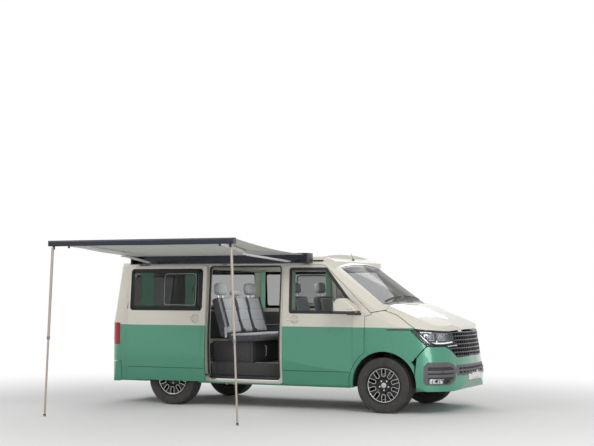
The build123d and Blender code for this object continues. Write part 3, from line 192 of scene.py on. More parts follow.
def paint(name, split=False, jamb=False, mirror=False, arm=False, color=CREAM):
    """Body paint under a clear coat. split puts cream over green at the belt; jamb keeps door frames cream.
    mirror darkens the lower part of what stands out beside the wall, and arm the sliding door's sill arm."""
    mat, tree, shader, place = new_material(name)
    calc = partial(math_node, tree)
    cloud = noise(tree, place, 1.6, 2.0)
    flake = noise(tree, place, 2400.0, 1.0)
    cream = tinted(tree, cloud, shade(CREAM, 0.98), shade(CREAM, 1.02))
    green = tinted(tree, flake, shade(GREEN, 0.86), shade(GREEN, 1.16), 0.15)
    tint, metal = (green, FLAKE_METAL) if color is GREEN else (cream, 0.0)
    if split:
        axes = add_node(tree, "SeparateXYZ", {0: place}).outputs
        height = axes["Z"]
        out = calc("ABSOLUTE", calc("SUBTRACT", axes["Y"], CY))
        upper = calc("GREATER_THAN", height, BELT)
        if jamb:
            above = calc("SUBTRACT", height, SILL_Z)
            drop = calc("MULTIPLY", calc("MULTIPLY", above, calc("SUBTRACT", height, WAIST_Z)), FACE_DROP)
            face = calc("ADD", calc("ADD", SILL_HALF, calc("MULTIPLY", above, FACE_BOW)), drop)
            upper = calc("MAXIMUM", upper, calc("LESS_THAN", out, calc("SUBTRACT", face, JAMB_DEPTH)))
        tint = mixed(tree, upper, green, cream)
        for wanted, place_out, start, top in ((mirror, out, MIRROR_FROM, MIRROR_SPLIT),
                                              (arm, axes["X"], ARM_FROM, ARM_TOP)):
            if wanted:
                dark = calc("MULTIPLY", calc("GREATER_THAN", place_out, start),
                            calc("LESS_THAN", height, top))
                tint = mixed(tree, dark, tint, DARK)
        metal = calc("MULTIPLY", calc("SUBTRACT", 1.0, upper), FLAKE_METAL)
    fill(tree, shader, {"Base Color": tint, "Metallic": metal, "Roughness": spread(tree, cloud, 0.24, 0.34),
                        "Coat Weight": 0.8, "Coat Roughness": 0.03})
    return mat


def glass(name, color, alpha, rough=0.02, specular=0.3, coat=0.3):
    """Tinted glass: mostly clear, with a glossy face. The tint varies a little over the pane."""
    mat, tree, shader, place = new_material(name)
    haze = noise(tree, place, 1.3, 2.0)
    fill(tree, shader, {
        "Base Color": tinted(tree, haze, shade(color, 0.9), shade(color, 1.1)),
        "Alpha": spread(tree, haze, alpha - 0.02, alpha + 0.02),
        "Roughness": rough, "Specular IOR Level": specular, "Coat Weight": coat, "Coat Roughness": 0.02,
    })
    return mat


def lit(name, color, strength):
    mat = surface(name, color, rough=0.15, grain=0.02, bump=0)
    fill(mat.node_tree, mat.node_tree.nodes["Principled BSDF"],
         {"Emission Color": color, "Emission Strength": strength})
    return mat


MAT = {
    "cream": paint("cream_paint"),
    "green": paint("green_paint", color=GREEN),
    "two_tone": paint("two_tone_paint", split=True),
    "side_paint": paint("side_paint", split=True, jamb=True),
    "slide_paint": paint("sliding_door_paint", split=True, arm=True),
    "door_paint": paint("door_paint", split=True, mirror=True),
    "glass": glass("side_glass", (0.02, 0.032, 0.027), 0.22, specular=0.25, coat=0.1),
    "screen": glass("screen_glass", (0.03, 0.045, 0.045), 0.30, specular=0.2, coat=0.0),
    "privacy": glass("privacy_glass", (0.008, 0.012, 0.010), 0.42, specular=0.2, coat=0.05),
    "lamp_glass": glass("lamp_glass", (0.5, 0.53, 0.55), 0.12, specular=0.4, coat=0.2),
    "black": surface("gloss_black", (0.006, 0.006, 0.007), rough=0.22, grain=0.3, bump=0, specular=0.25,
                     coat=0.1),
    "rubber": surface("rubber_seal", (0.02, 0.02, 0.021), rough=0.6, grain=0.2, bump=0.2),
    "trim": surface("dark_trim", (0.065, 0.066, 0.072), rough=0.52, grain=0.1, bump=0.35, bump_scale=900),
    "liner": surface("arch_liner", (0.018, 0.018, 0.019), rough=0.85, grain=0.25, bump=0.6, bump_scale=300),
    "chrome": surface("chrome", (0.8, 0.81, 0.83), rough=0.12, metallic=1.0, grain=0.02, bump=0,
                      rough_spread=0.03),
    "alloy": surface("machined_alloy", (0.66, 0.65, 0.63), rough=0.3, metallic=0.9, grain=0.05, bump=0.08),
    "rim_black": surface("rim_black", (0.010, 0.010, 0.011), rough=0.3, grain=0.2, bump=0, specular=0.3,
                         coat=0.15),
    "silver": surface("satin_silver", (0.55, 0.56, 0.59), rough=0.34, metallic=0.6, grain=0.03, bump=0.1),
    "arm": surface("arm_silver", (0.84, 0.84, 0.85), rough=0.42, metallic=0.15, grain=0.03, bump=0.08),
    "leg": surface("leg_champagne", (0.42, 0.36, 0.31), rough=0.4, metallic=0.6, grain=0.04, bump=0.08),
    "case": surface("anodised_navy", (0.012, 0.016, 0.03), rough=0.3, metallic=0.3, grain=0.15, bump=0.06,
                    coat=0.25),
    "tyre": surface("tyre_rubber", (0.05, 0.047, 0.045), rough=0.86, grain=0.22, grain_scale=14, bump=0.4),
    "steel": surface("painted_steel", (0.03, 0.03, 0.032), rough=0.6, grain=0.3, bump=0.3),
    "brake": surface("brake_disc", (0.32, 0.31, 0.3), rough=0.38, metallic=0.9, grain=0.2, bump=0.2),
    "exhaust": surface("exhaust_steel", (0.3, 0.28, 0.26), rough=0.45, metallic=0.9, grain=0.2, bump=0.25),
    "floor": surface("floor_cover", (0.07, 0.07, 0.072), rough=0.75, grain=0.15, bump=0.4, bump_scale=260),
    "wood": surface("bed_laminate", (0.36, 0.29, 0.2), rough=0.5, grain=0.15, grain_scale=9, bump=0.1),
    "shell": surface("seat_shell", (0.05, 0.05, 0.054), rough=0.6, grain=0.12, bump=0.35, bump_scale=700),
    "lining": surface("light_lining", (0.5, 0.49, 0.46), rough=0.85, grain=0.05, bump=0.2),
    "dash": surface("dash_plastic", (0.035, 0.035, 0.038), rough=0.62, grain=0.15, bump=0.4, bump_scale=800),
    "red": glass("red_lens", (0.36, 0.003, 0.004), 0.97, rough=0.12),
    "plate": surface("blank_plate", (0.8, 0.8, 0.79), rough=0.35, grain=0.02, bump=0.05),
    "seat": cloth("seat_fabric", (0.30, 0.32, 0.34), (0.52, 0.54, 0.56)),
    "seat_dark": cloth("seat_side_fabric", (0.045, 0.047, 0.052), (0.1, 0.105, 0.115)),
    # Curtain cloth with painted glow for daylight through it; the second copy is darker, with much less
    # painted glow, for the curtains at the cab's edge and on the left wall
    "curtain": cloth("curtain_fabric", (0.30, 0.62, 0.47), (0.46, 0.76, 0.62), thread=0.001, slub=0.06,
                     glow=0.45),
    "curtain_dim_glow": cloth("curtain_near_fabric", (0.30, 0.56, 0.44), (0.46, 0.70, 0.58), thread=0.001,
                          slub=0.06,
                          glow=0.06),
    "canopy": cloth("canopy_fabric", (0.50, 0.49, 0.46), (0.64, 0.63, 0.60), thread=0.0012, sheen=0.1,
                    slub=0.05),
    "bellows": cloth("bellows_fabric", (0.42, 0.40, 0.36), (0.56, 0.54, 0.5), thread=0.0014),
    "belt": cloth("belt_webbing", (0.012, 0.012, 0.014), (0.04, 0.04, 0.045), thread=0.001),
    "lamp_white": lit("lamp_strip", (0.85, 0.88, 0.92), 0.35),
    "reflector": surface("lamp_reflector", (0.55, 0.57, 0.6), rough=0.16, metallic=1.0, grain=0.05, bump=0),
    "lens": surface("projector_lens", (0.30, 0.34, 0.38), rough=0.05, metallic=0.2, grain=0.2, bump=0,
                    coat=0.4),
    "insert": surface("bumper_insert", (0.105, 0.100, 0.112), rough=0.5, grain=0.1, bump=0.3,
                      bump_scale=900),
    "satin_dark": surface("satin_dark_edge", (0.22, 0.22, 0.24), rough=0.35, metallic=0.5, grain=0.05,
                          bump=0.05),
    "amber": glass("amber_lens", (0.7, 0.25, 0.03), 0.9, rough=0.1),
}

CAD_MATERIALS = {
    "cream": ["roof_frame", "pop_roof", "roof_cap", "bonnet", "windscreen_frame"],
    "green": ["front_bumper", "rear_bumper"],
    "two_tone": ["rear_frame", "front_wings", "tailgate"],
    "slide_paint": ["sliding_door"],
    "door_paint": ["right_front_door", "left_front_door"],
    "side_paint": ["right_body_side", "left_body_side"],
    "glass": ["right_front_glass", "left_front_glass"],
    "privacy": ["side_windows", "tailgate_glass"],
    "screen": ["windscreen"],
    "lamp_glass": ["headlights"],
    "red": ["tail_lamps"],
    "black": ["grille"],
    "insert": ["bumper_trim"],
    "liner": ["arch_liners"],
    "rubber": ["wipers"],
    "floor": ["floor_pan", "bulkhead"],
    "steel": ["front_subframe", "engine_block", "rear_axle"],
    "brake": ["right_knuckle", "left_knuckle"],
    "exhaust": ["exhaust"],
    "shell": ["seat_bases", "steering_wheel"],
    "dash": ["dashboard"],
    "seat": ["seat_cushions"],
    "wood": ["roof_bed"],
    "bellows": ["roof_bellows"],
    "canopy": ["awning_canopy"],
    "case": ["awning_case", "awning_bar"],
    "arm": ["front_upper_arm", "front_forearm", "rear_upper_arm", "rear_forearm"],
    "leg": ["front_leg_upper", "front_leg_lower", "rear_leg_upper", "rear_leg_lower"],
    "tyre": ["tyre_front_right", "tyre_front_left", "tyre_rear_right", "tyre_rear_left"],
    "rim_black": ["rim_front_right", "rim_front_left", "rim_rear_right", "rim_rear_left"],
}
for key, names in CAD_MATERIALS.items():
    for name in names:
        NODES[name].data.materials.clear()
        NODES[name].data.materials.append(MAT[key])

# Camera at the photograph's place
CAMERA_AT = at(7.193, -15.887, 1.496)
CAMERA_YAW = math.radians(114.50)
CAMERA_PITCH = math.radians(3.08)
CAMERA_ROLL = math.radians(0.11)
FOCAL_PX = 1284.7
IMAGE_W = 594
SENSOR = 36.0


def linked(name, data):
    """A new object in the scene."""
    obj = bpy.data.objects.new(name, data)
    bpy.context.scene.collection.objects.link(obj)
    return obj


def make_camera():
    data = bpy.data.cameras.new("camera")
    data.sensor_width = SENSOR
    data.lens = FOCAL_PX / IMAGE_W * SENSOR
    data.clip_end = 200
    camera = linked("camera", data)
    forward = Vector((math.cos(CAMERA_YAW) * math.cos(CAMERA_PITCH),
                      math.sin(CAMERA_YAW) * math.cos(CAMERA_PITCH), math.sin(CAMERA_PITCH)))
    turn = forward.to_track_quat("-Z", "Y").to_matrix().to_4x4() @ Matrix.Rotation(CAMERA_ROLL, 4, "Z")
    camera.matrix_world = Matrix.Translation(CAMERA_AT) @ turn
    bpy.context.scene.camera = camera


def seen_directly(tree):
    """1 for rays from the camera, from a reflection or through glass."""
    rays = add_node(tree, "LightPath", {}).outputs
    seen = math_node(tree, "MAXIMUM", rays["Is Camera Ray"], rays["Is Glossy Ray"])
    return math_node(tree, "MAXIMUM", seen, rays["Is Transmission Ray"])


WHITE = (1, 1, 1)
WORLD_LIGHT = 0.5
FLOOR_HALF = 60
# The floor turns to the backdrop's white between these distances
FADE_FROM, FADE_TO = 3.2, 8.5


def stage_material():
    """A pale floor that turns to the white of the backdrop away from the object."""
    mat = surface("stage_floor", (0.8, 0.8, 0.8), rough=0.9, grain=0.01, bump=0)
    tree = mat.node_tree
    place = add_node(tree, "TexCoord", {}).outputs["Object"]
    length = add_node(tree, "VectorMath", {0: place}, operation="LENGTH").outputs["Value"]
    far = add_node(tree, "MapRange", {"Value": length, "From Min": FADE_FROM, "From Max": FADE_TO},
                   interpolation_type="SMOOTHSTEP")
    share = math_node(tree, "MULTIPLY", far.outputs["Result"], seen_directly(tree))
    white = add_node(tree, "Emission", {"Color": WHITE})
    blend = add_node(tree, "MixShader", {"Fac": share, 1: tree.nodes["Principled BSDF"].outputs["BSDF"],
                                         2: white.outputs["Emission"]})
    feed(tree, tree.nodes["Material Output"].inputs["Surface"], blend.outputs["Shader"])
    return mat


def make_stage():
    """A pale floor and a world that the camera sees as white."""
    mesh = bpy.data.meshes.new("floor")
    mesh.from_pydata([(FLOOR_HALF * a, FLOOR_HALF * b, 0) for a, b in ((-1, -1), (1, -1), (1, 1), (-1, 1))],
                     [],
                     [(0, 1, 2, 3)])
    floor = linked("floor", mesh)
    mesh.materials.append(stage_material())
    world = bpy.data.worlds.new("world")
    bpy.context.scene.world = world
    world.use_nodes = True
    tree = world.node_tree
    lift = math_node(tree, "MULTIPLY", seen_directly(tree), 1 - WORLD_LIGHT)
    fill(tree, tree.nodes["Background"],
         {"Color": WHITE, "Strength": math_node(tree, "ADD", lift, WORLD_LIGHT)})


def lamp(name, place, aim, size, power, color=WHITE):
    data = bpy.data.lights.new(name, "AREA")
    data.shape = "RECTANGLE"
    data.size, data.size_y = size
    data.energy = power
    data.color = color
    obj = linked(name, data)
    obj.location = place
    obj.rotation_euler = (aim - place).to_track_quat("-Z", "Y").to_euler()
    obj.visible_camera = False


make_camera()
make_stage()
MIDDLE = at(0, 0, 0.9)
lamp("key", at(9, -8, 10), MIDDLE, (6, 5), 540, (1.0, 0.97, 0.93))
lamp("fill", at(-7, -11, 9), MIDDLE, (6, 5), 380)
lamp("back", at(-3, 9, 8), MIDDLE, (8, 5), 290)
lamp("side", at(9, -13, 3), MIDDLE, (7, 2.5), 300)
# Two small lamps inside stand in for daylight through the cloth and the glass
lamp("room", at(-0.30, -0.15, 1.80), at(-0.50, 0.05, 0.8), (1.0, 0.9), 9)
lamp("rear_room", at(-1.60, 0.10, 1.78), at(-1.60, -0.70, 1.3), (0.8, 0.6), 9)
bpy.context.scene.view_settings.view_transform = "Standard"


# Mesh helpers


def noise_at(point):
    """Smooth, fixed noise from -1 to 1."""
    wave = math.sin(point.x * 1.7 + 2.1 * math.sin(point.y * 0.9 + point.z))
    return wave * math.cos(point.y * 1.3 + point.z * 2.3)


def placed(name, mesh, material, body="van", smooth=True):
    """A mesh as a piece of one material that rides a body."""
    for poly in mesh.polygons:
        poly.use_smooth = smooth
    obj = linked(name, mesh)
    mesh.materials.clear()
    mesh.materials.append(MAT[material])
    if body:
        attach(obj, body)
    return obj


def piece(name, verts, faces, material, body="van", smooth=True):
    """A piece from points and faces, with double points merged and its faces turned outwards."""
    mesh = bpy.data.meshes.new(name)
    mesh.from_pydata([tuple(v) for v in verts], [], faces)
    mesh.validate()
    bm = bmesh.new()
    bm.from_mesh(mesh)
    bmesh.ops.remove_doubles(bm, verts=bm.verts, dist=1e-6)
    bmesh.ops.recalc_face_normals(bm, faces=bm.faces)
    bm.to_mesh(mesh)
    bm.free()
    return placed(name, mesh, material, body, smooth)


def baked(obj):
    """The mesh of an object as its curve or modifiers make it."""
    bpy.context.view_layer.update()
    return bpy.data.meshes.new_from_object(obj.evaluated_get(bpy.context.evaluated_depsgraph_get()))


def solidified(obj, thick):
    """Gives a sheet its thickness as a modifier."""
    solid = obj.modifiers.new("thickness", "SOLIDIFY")
    solid.thickness = thick
    solid.offset = 0


def joined(parts):
    """Points and faces of several shapes as one."""
    verts, faces = [], []
    for more_verts, more_faces in parts:
        base = len(verts)
        verts += more_verts
        faces += [tuple(i + base for i in face) for face in more_faces]
    return verts, faces


def grid_faces(rows, columns, round_rows=False, round_columns=False, base=0):
    """Quads between points that lie row by row. round_rows and round_columns join the last to the first."""
    faces = []
    for row in range(rows if round_rows else rows - 1):
        a, b = base + row * columns, base + (row + 1) % rows * columns
        for i in range(columns if round_columns else columns - 1):
            j = (i + 1) % columns
            faces.append((a + i, a + j, b + j, b + i))
    return faces


def swept(rings, closed=False):
    """Points and faces of a solid through matching rings. closed joins the last ring to the first."""
    size = len(rings[0])
    faces = grid_faces(len(rings), size, closed, True)
    if not closed:
        last = (len(rings) - 1) * size
        faces += [tuple(range(size)), tuple(range(last, last + size))]
    return [point for ring in rings for point in ring], faces


def tree_of(*names):
    """A ray-casting tree of some CAD nodes."""
    meshes = [NODES[name].data for name in names]
    return BVHTree.FromPolygons(*joined([([v.co.copy() for v in mesh.vertices],
                                          [p.vertices for p in mesh.polygons]) for mesh in meshes]))


def cast(tree, start, towards, near, lift, on_line=False):
    """Where a ray meets a surface, lifted off it on the ray's side. A ray that misses takes the place
    nearest to near, moved onto the ray if on_line is set."""
    hit, normal, _, _ = tree.ray_cast(start, towards)
    if hit is None:
        hit, normal, _, _ = tree.find_nearest(near)
        if on_line:
            hit = start + towards * (hit - start).dot(towards)
    if normal.dot(towards) > 0:
        normal = -normal
    return hit + normal * lift


WALL_LIMIT = 0.965


def on_side(tree, side, limit=WALL_LIMIT):
    """Places on a side wall seen from outside, by x and z. What stands out past limit is passed."""
    return lambda x, z, lift: cast(tree, at(x, -side * limit, z), Vector((0, side, 0)),
                                   at(x, -side * 0.95, z),
                                   lift, True)


def on_end(tree, end):
    """Places on the nose, or on the tail where end is -1, by y and z."""
    return lambda y, z, lift: cast(tree, at(end * 4.0, y, z), Vector((-end, 0, 0)), at(end * 2.4, y, z),
                                   lift)


def from_above(tree):
    """Places seen from above, by x and y."""
    return lambda x, y, lift: cast(tree, at(x, y, 3.0), Vector((0, 0, -1)), at(x, y, 1.15), lift)


def inset(points, distance):
    """A convex or gently concave polygon moved inwards by distance."""
    count = len(points)
    area = sum(points[i][0] * points[(i + 1) % count][1] - points[(i + 1) % count][0] * points[i][1]
               for i in range(count))
    turn = 1 if area > 0 else -1
    moved = []
    for i in range(count):
        before, here, after = Vector(points[i - 1]), Vector(points[i]), Vector(points[(i + 1) % count])
        one = (here - before).normalized()
        two = (after - here).normalized()
        normal_one = Vector((-one.y, one.x)) * turn
        normal_two = Vector((-two.y, two.x)) * turn
        middle = (normal_one + normal_two).normalized()
        moved.append(tuple(here + middle * (distance / max(0.2, middle.dot(normal_one)))))
    return moved


def rounded(points, radius, steps=6, edge_steps=None):
    """Samples a polygon with round corners. Every call with the same counts gives matching loops."""
    count = len(points)
    loop = []
    corners = []
    for i in range(count):
        before, here, after = Vector(points[i - 1]), Vector(points[i]), Vector(points[(i + 1) % count])
        one = (before - here).normalized()
        two = (after - here).normalized()
        half = one.angle(two) / 2
        reach = min(radius / math.tan(half), (before - here).length * 0.45, (after - here).length * 0.45)
        start, end = here + one * reach, here + two * reach
        corners.append([tuple((1 - t) ** 2 * start + 2 * t * (1 - t) * here + t * t * end)
                        for t in [k / steps for k in range(steps + 1)]])
    for i in range(count):
        loop += corners[i]
        last = Vector(corners[i][-1])
        nxt = Vector(corners[(i + 1) % count][0])
        spans = edge_steps[i] if edge_steps else max(1, math.ceil((nxt - last).length / 0.06))
        loop += [tuple(last.lerp(nxt, k / spans)) for k in range(1, spans)]
    return loop


def edge_counts(points, step=0.05):
    count = len(points)
    return [max(1, math.ceil((Vector(points[(i + 1) % count]) - Vector(points[i])).length / step))
            for i in range(count)]


def band(name, points, outer, inner, radii, project, thick, material, body="van", lift=0.0006):
    """A flat ring that hugs a surface, between two insets of an outline."""
    counts = edge_counts(points)
    outside, inside = (rounded(inset(points, distance), radius, 6, counts)
                       for distance, radius in zip((outer, inner), radii))
    low, top = lift, lift + thick
    rings = [[project(a, b, height) for a, b in loop]
             for loop, height in ((outside, low), (inside, low), (inside, top), (outside, top))]
    return piece(name, *swept(rings, True), material, body, smooth=False)


def ribbon_mesh(route, width, low, high, project):
    """A strip of even width along a route on a surface. route holds pairs in the surface's own plane."""
    rings = []
    for i, here in enumerate(route):
        before, after = Vector(route[max(0, i - 1)]), Vector(route[min(len(route) - 1, i + 1)])
        along = (after - before).normalized()
        across = Vector((-along.y, along.x)) * (width / 2)
        one, two = Vector(here) + across, Vector(here) - across
        rings.append([project(*one, low), project(*one, high), project(*two, high), project(*two, low)])
    return swept(rings)


def ribbon(name, route, width, thick, project, material, body="van", lift=0.0006):
    return piece(name, *ribbon_mesh(route, width, lift, lift + thick, project), material, body, smooth=False)


def raised(name, outline, project, thick, material, body="van", radius=0.01, lift=0.0, steps=4):
    """A low pad with round corners and a soft edge that hugs a surface."""
    counts = edge_counts(outline, 0.03)
    rings = [(0.0, 0.0), (0.0, thick * 0.6), (0.0015, thick * 0.9), (0.004, thick)]
    loops = [rounded(inset(outline, distance), radius, 5, counts) for distance, _ in rings]
    total = len(loops[0])
    middle = (sum(p[0] for p in outline) / len(outline), sum(p[1] for p in outline) / len(outline))
    verts = [project(a, b, lift + height) for loop, (_, height) in zip(loops, rings) for a, b in loop]
    for k in range(1, steps):
        t = k / steps
        verts += [project(a + (middle[0] - a) * t, b + (middle[1] - b) * t, lift + thick) for a,
                  b in loops[-1]]
    verts.append(project(*middle, lift + thick))
    last = (len(rings) + steps - 2) * total
    faces = grid_faces(len(rings) + steps - 1, total, False, True)
    faces += [(last + i, last + (i + 1) % total, len(verts) - 1) for i in range(total)]
    return piece(name, verts, faces, material, body)


def box_outline(a, b, wide, tall):
    return [(a + i * wide / 2, b + j * tall / 2) for i, j in ((-1, -1), (-1, 1), (1, 1), (1, -1))]


def tube(name, path, radius, material, body="van", sides=12):
    """A round tube along points."""
    curve = bpy.data.curves.new(name, "CURVE")
    curve.dimensions = "3D"
    curve.bevel_depth = radius
    curve.bevel_resolution = max(1, sides // 4)
    curve.use_fill_caps = True
    spline = curve.splines.new("POLY")
    spline.points.add(len(path) - 1)
    for point, place in zip(spline.points, path):
        point.co = (*place, 1)
    temp = linked(name + "_curve", curve)
    mesh = baked(temp)
    bpy.data.objects.remove(temp)
    return placed(name, mesh, material, body)


def block(name, low, high, material, body="van", bevel=0.004):
    """A box with rounded edges, between two corners."""
    bm = bmesh.new()
    bmesh.ops.create_cube(bm, size=1.0)
    size = high - low
    for v in bm.verts:
        v.co = Vector((low[k] + (v.co[k] + 0.5) * size[k] for k in range(3)))
    bmesh.ops.bevel(bm, geom=list(bm.edges), offset=min(bevel, min(size) * 0.45), segments=3, affect="EDGES",
                    profile=0.5)
    mesh = bpy.data.meshes.new(name)
    bm.to_mesh(mesh)
    bm.free()
    return placed(name, mesh, material, body)


def lathe(name, profile, centre, axis, across, material, body="van", steps=64, closed=False):
    """Turns a profile of (along the axis, radius) pairs about an axis."""
    side = axis.cross(across)
    verts = []
    for k in range(steps):
        angle = 2 * math.pi * k / steps
        radial = across * math.cos(angle) + side * math.sin(angle)
        verts += [centre + axis * along + radial * radius for along, radius in profile]
    return piece(name, verts, grid_faces(steps, len(profile), True, closed), material, body)


# Surfaces that the fine pieces lie on

NOSE = tree_of("front_bumper", "bumper_trim", "grille", "headlights", "bonnet", "front_wings")
SLIDE_BACK = -1.071
on_right = on_side(tree_of("right_body_side", "rear_frame", "front_wings", "windscreen_frame",
                           "right_front_door",
                           "right_front_glass", "front_bumper", "roof_frame"), RIGHT)
on_left = on_side(tree_of("left_body_side", "rear_frame", "front_wings", "windscreen_frame",
                          "left_front_door",
                          "left_front_glass", "side_windows", "front_bumper", "roof_frame"), LEFT)
on_sliding = on_side(tree_of("sliding_door", "side_windows"), RIGHT, limit=3.0)
# The right quarter pane stands behind the open door
on_quarter = on_side(tree_of("right_body_side", "left_body_side"), RIGHT)
on_nose = on_end(NOSE, 1)
on_tail = on_end(tree_of("tailgate", "tailgate_glass", "rear_frame", "rear_bumper", "tail_lamps"), -1)
on_bonnet = from_above(tree_of("bonnet"))
on_roof = from_above(tree_of("pop_roof", "roof_cap", "roof_frame", "windscreen_frame"))


# Side windows: outlines in x and z, as in the part's source
FRONT_WINDOW = [(0.275, 1.235), (0.265, 1.798), (0.770, 1.798), (1.165, 1.310), (1.135, 1.235)]
MIDDLE_WINDOW = [(-0.985, 1.250), (-0.985, 1.803), (0.115, 1.803), (0.115, 1.250)]
QUARTER_WINDOW = [(-2.160, 1.250), (-2.078, 1.803), (-1.078, 1.803), (-1.078, 1.250)]
SLIDING_WINDOW = [(x + SLIDE_BACK, z) for x, z in MIDDLE_WINDOW]


def flush_window(name, corners, project, body, slider):
    """A flush pane's black edge, and the frame of its sliding pane."""
    band(f"{name}_edge", corners, 0.0015, 0.055, (0.043, 0.03), project, 0.0012, "black", body)
    if slider:
        left, right = slider
        frame_line = [(left, 1.325), (left, 1.735), (right, 1.735), (right, 1.325)]
        band(f"{name}_slider", frame_line, 0, 0.013, (0.05, 0.04), project, 0.0016, "rubber", body,
             lift=0.0008)
        band(f"{name}_slider_line", frame_line, -0.003, 0.0, (0.053, 0.05), project, 0.002, "silver", body,
             lift=0.0008)
        mid = right - 0.02 if right < 0 else right - 0.03
        ribbon(f"{name}_slider_grip", [(mid - 0.02, 1.50), (mid - 0.02, 1.57)], 0.016, 0.004, project,
               "black", body,
               lift=0.002)


flush_window("sliding_window", SLIDING_WINDOW, on_sliding, "van", (-1.53, -1.06))
flush_window("left_middle_window", MIDDLE_WINDOW, on_left, "van", (-0.45, 0.02))
flush_window("left_quarter_window", QUARTER_WINDOW, on_left, "van", None)

band("right_quarter_window_edge", QUARTER_WINDOW, -0.001, 0.02, (0.045, 0.03), on_quarter, 0.001, "black")

# Front door windows: rubber frame, the black corner that carries the mirror, and the waist strip
DOORS = {
    "right": ("right_door", on_right, RIGHT),
    "left": ("left_door", on_left, LEFT),
}
for name, (body, project, side) in DOORS.items():
    band(f"{name}_front_window_rubber", FRONT_WINDOW, -0.012, 0.026, (0.035, 0.012), project, 0.003,
         "rubber", body)
    band(f"{name}_front_window_bright", FRONT_WINDOW, 0.027, 0.030, (0.02, 0.02), project, 0.001, "trim",
         body)
    corner = [(1.060, 1.212), (1.040, 1.262), (1.125, 1.395), (1.262, 1.232), (1.258, 1.210)]
    loop = rounded(corner, 0.012, 5, edge_counts(corner))
    total = len(loop)
    verts = [project(x, z, 0.0045) for x, z in loop] + [project(x, z, -0.001) for x, z in loop]
    verts.append(project(1.15, 1.26, 0.0048))
    faces = [(i, (i + 1) % total, 2 * total) for i in range(total)]
    faces += [(i, i + total, (i + 1) % total + total, (i + 1) % total) for i in range(total)]
    piece(f"{name}_mirror_corner", verts, faces, "trim", body, smooth=False)


# Mirrors: bright strip, glass and turn lamp
MIRROR_OUT = 1.151
for name, (body, project, side) in DOORS.items():
    strip = [at(0.968 + 0.296 * k / 16, -side * (MIRROR_OUT - 0.010 * (k / 8 - 1) ** 8), MIRROR_SPLIT)
             for k in range(17)]
    tube(f"{name}_mirror_strip", strip, 0.0035, "chrome", body, sides=8)
    for part, x, y, z, material, bevel in (
            ("glass", (0.9625, 0.9675), (1.0, 1.135), (1.256, 1.40), "reflector", 0.02),
            ("turn_lamp", (1.15, 1.235), (1.148, 1.1525), (1.283, 1.290), "amber", 0.002)):
        y = sorted(-side * value for value in y)
        block(f"{name}_mirror_{part}", at(x[0], y[0], z[0]), at(x[1], y[1], z[1]), material, body,
              bevel=bevel)

# Door handles: a lock cylinder, a seam, and two fine dark arcs of painted shade along the rim of the recess
# behind the grip
HANDLE_Z = 1.147
DISH = (0.052, 0.046)
DISH_STEP = 9.67
HANDLES = {
    "right_front": (0.345, on_right, "right_door", RIGHT),
    "left_front": (0.345, on_left, "left_door", LEFT),
    "sliding": (0.018 + SLIDE_BACK, on_sliding, "van", RIGHT),
}
for name, (x, project, body, side) in HANDLES.items():
    lathe(f"{name}_handle_lock", [(0.0, 0.011), (0.002, 0.011), (0.003, 0.009), (0.003, 0.0)],
          project(x - 0.085, HANDLE_Z, 0.0), Vector((0, -side, 0)), AHEAD, "chrome", body, steps=24)
    seam = [(x - 0.070, HANDLE_Z - 0.0125), (x - 0.070, HANDLE_Z + 0.0125)]
    ribbon(f"{name}_handle_seam", seam, 0.0022, 0.0004, project, "rubber", body, lift=0.0002)
    # The two arcs are painted shade where the recess's upper and lower rim falls into shadow
    for part, start in (("top", 32), ("low", 212)):
        turns = [math.radians(start + DISH_STEP * k) for k in range(13)]
        arc = [(x + DISH[0] * math.cos(turn), HANDLE_Z + DISH[1] * math.sin(turn)) for turn in turns]
        ribbon(f"{name}_dish_shade_{part}", arc, 0.0028, 0.0004, project, "satin_dark", body, lift=0.0002)


# Wheels: bright ring with U-shaped slot edges, hub cap, bolts, and a tyre with its tread
SLOTS = 10
RING_R = 0.2135
EDGE_OUT = 0.0845
SLOT_MIDDLE = 0.152
SLOT_HALF = 0.021
SLOT_L = 0.084
SLOT_GROW = 0.0025
BOLTS = 5
BOLT_CIRCLE = 0.060
BOLT_RINGS = ((0.066, 0.0125), (0.0665, 0.0125), (0.0665, 0.0095), (0.080, 0.0088), (0.0815, 0.0070))
# Turned parts as (outward, radius) profiles
TURNED = {
    "ring": ([(EDGE_OUT - 0.001, 0.2025), (EDGE_OUT + 0.0025, 0.2032), (EDGE_OUT + 0.0035, 0.209),
              (EDGE_OUT + 0.001, 0.2155)], "alloy", 96),
    "lip": ([(0.1032, 0.2165), (0.1042, 0.219), (0.1042, 0.226), (0.1032, 0.2288)], "rim_black", 96),
    "cap": ([(0.0765, 0.034), (0.081, 0.0335), (0.0835, 0.031), (0.0845, 0.024), (0.085, 0.0)], "silver",
            48),
    "cap_rim": ([(0.0765, 0.0375), (0.0805, 0.037), (0.0812, 0.0345), (0.0765, 0.034)], "rim_black", 48),
}
# Section of the dust shield, reaching out near the rim so that its dark face is painted shade behind the
# slots
SHIELD_AND_SHADE = [(-0.058, 0.036), (-0.058, 0.118), (-0.034, 0.140), (-0.034, 0.187), (-0.037, 0.187),
          (-0.037, 0.141),
          (-0.061, 0.119), (-0.061, 0.036)]
KEEPERS = {"front_right": "right_hub", "front_left": "left_hub", "rear_right": "van", "rear_left": "van"}


def slot_path(angle):
    """The outline of one slot: round towards the hub and open to the ring."""
    inner = SLOT_MIDDLE - SLOT_L / 2 + SLOT_HALF
    outer = RING_R - 0.010
    half = SLOT_HALF + SLOT_GROW
    turns = [-math.pi / 2 - math.pi * k / 12 for k in range(13)]
    path = [(outer, -half)] + [(inner + half * math.cos(turn), half * math.sin(turn)) for turn in turns]
    path.append((outer, half))
    c, s = math.cos(angle), math.sin(angle)
    return [(r * s + t * c, r * c - t * s) for r, t in path]


def bolt(spot, axis):
    """A six-sided bolt head."""
    sides = 6
    verts = [spot + axis * along + Vector((math.cos(math.pi * m / 3), 0, math.sin(math.pi * m / 3))) * radius
             for along, radius in BOLT_RINGS for m in range(sides)]
    faces = grid_faces(len(BOLT_RINGS), sides, False, True)
    return verts, faces + [tuple((len(BOLT_RINGS) - 1) * sides + m for m in range(sides))]


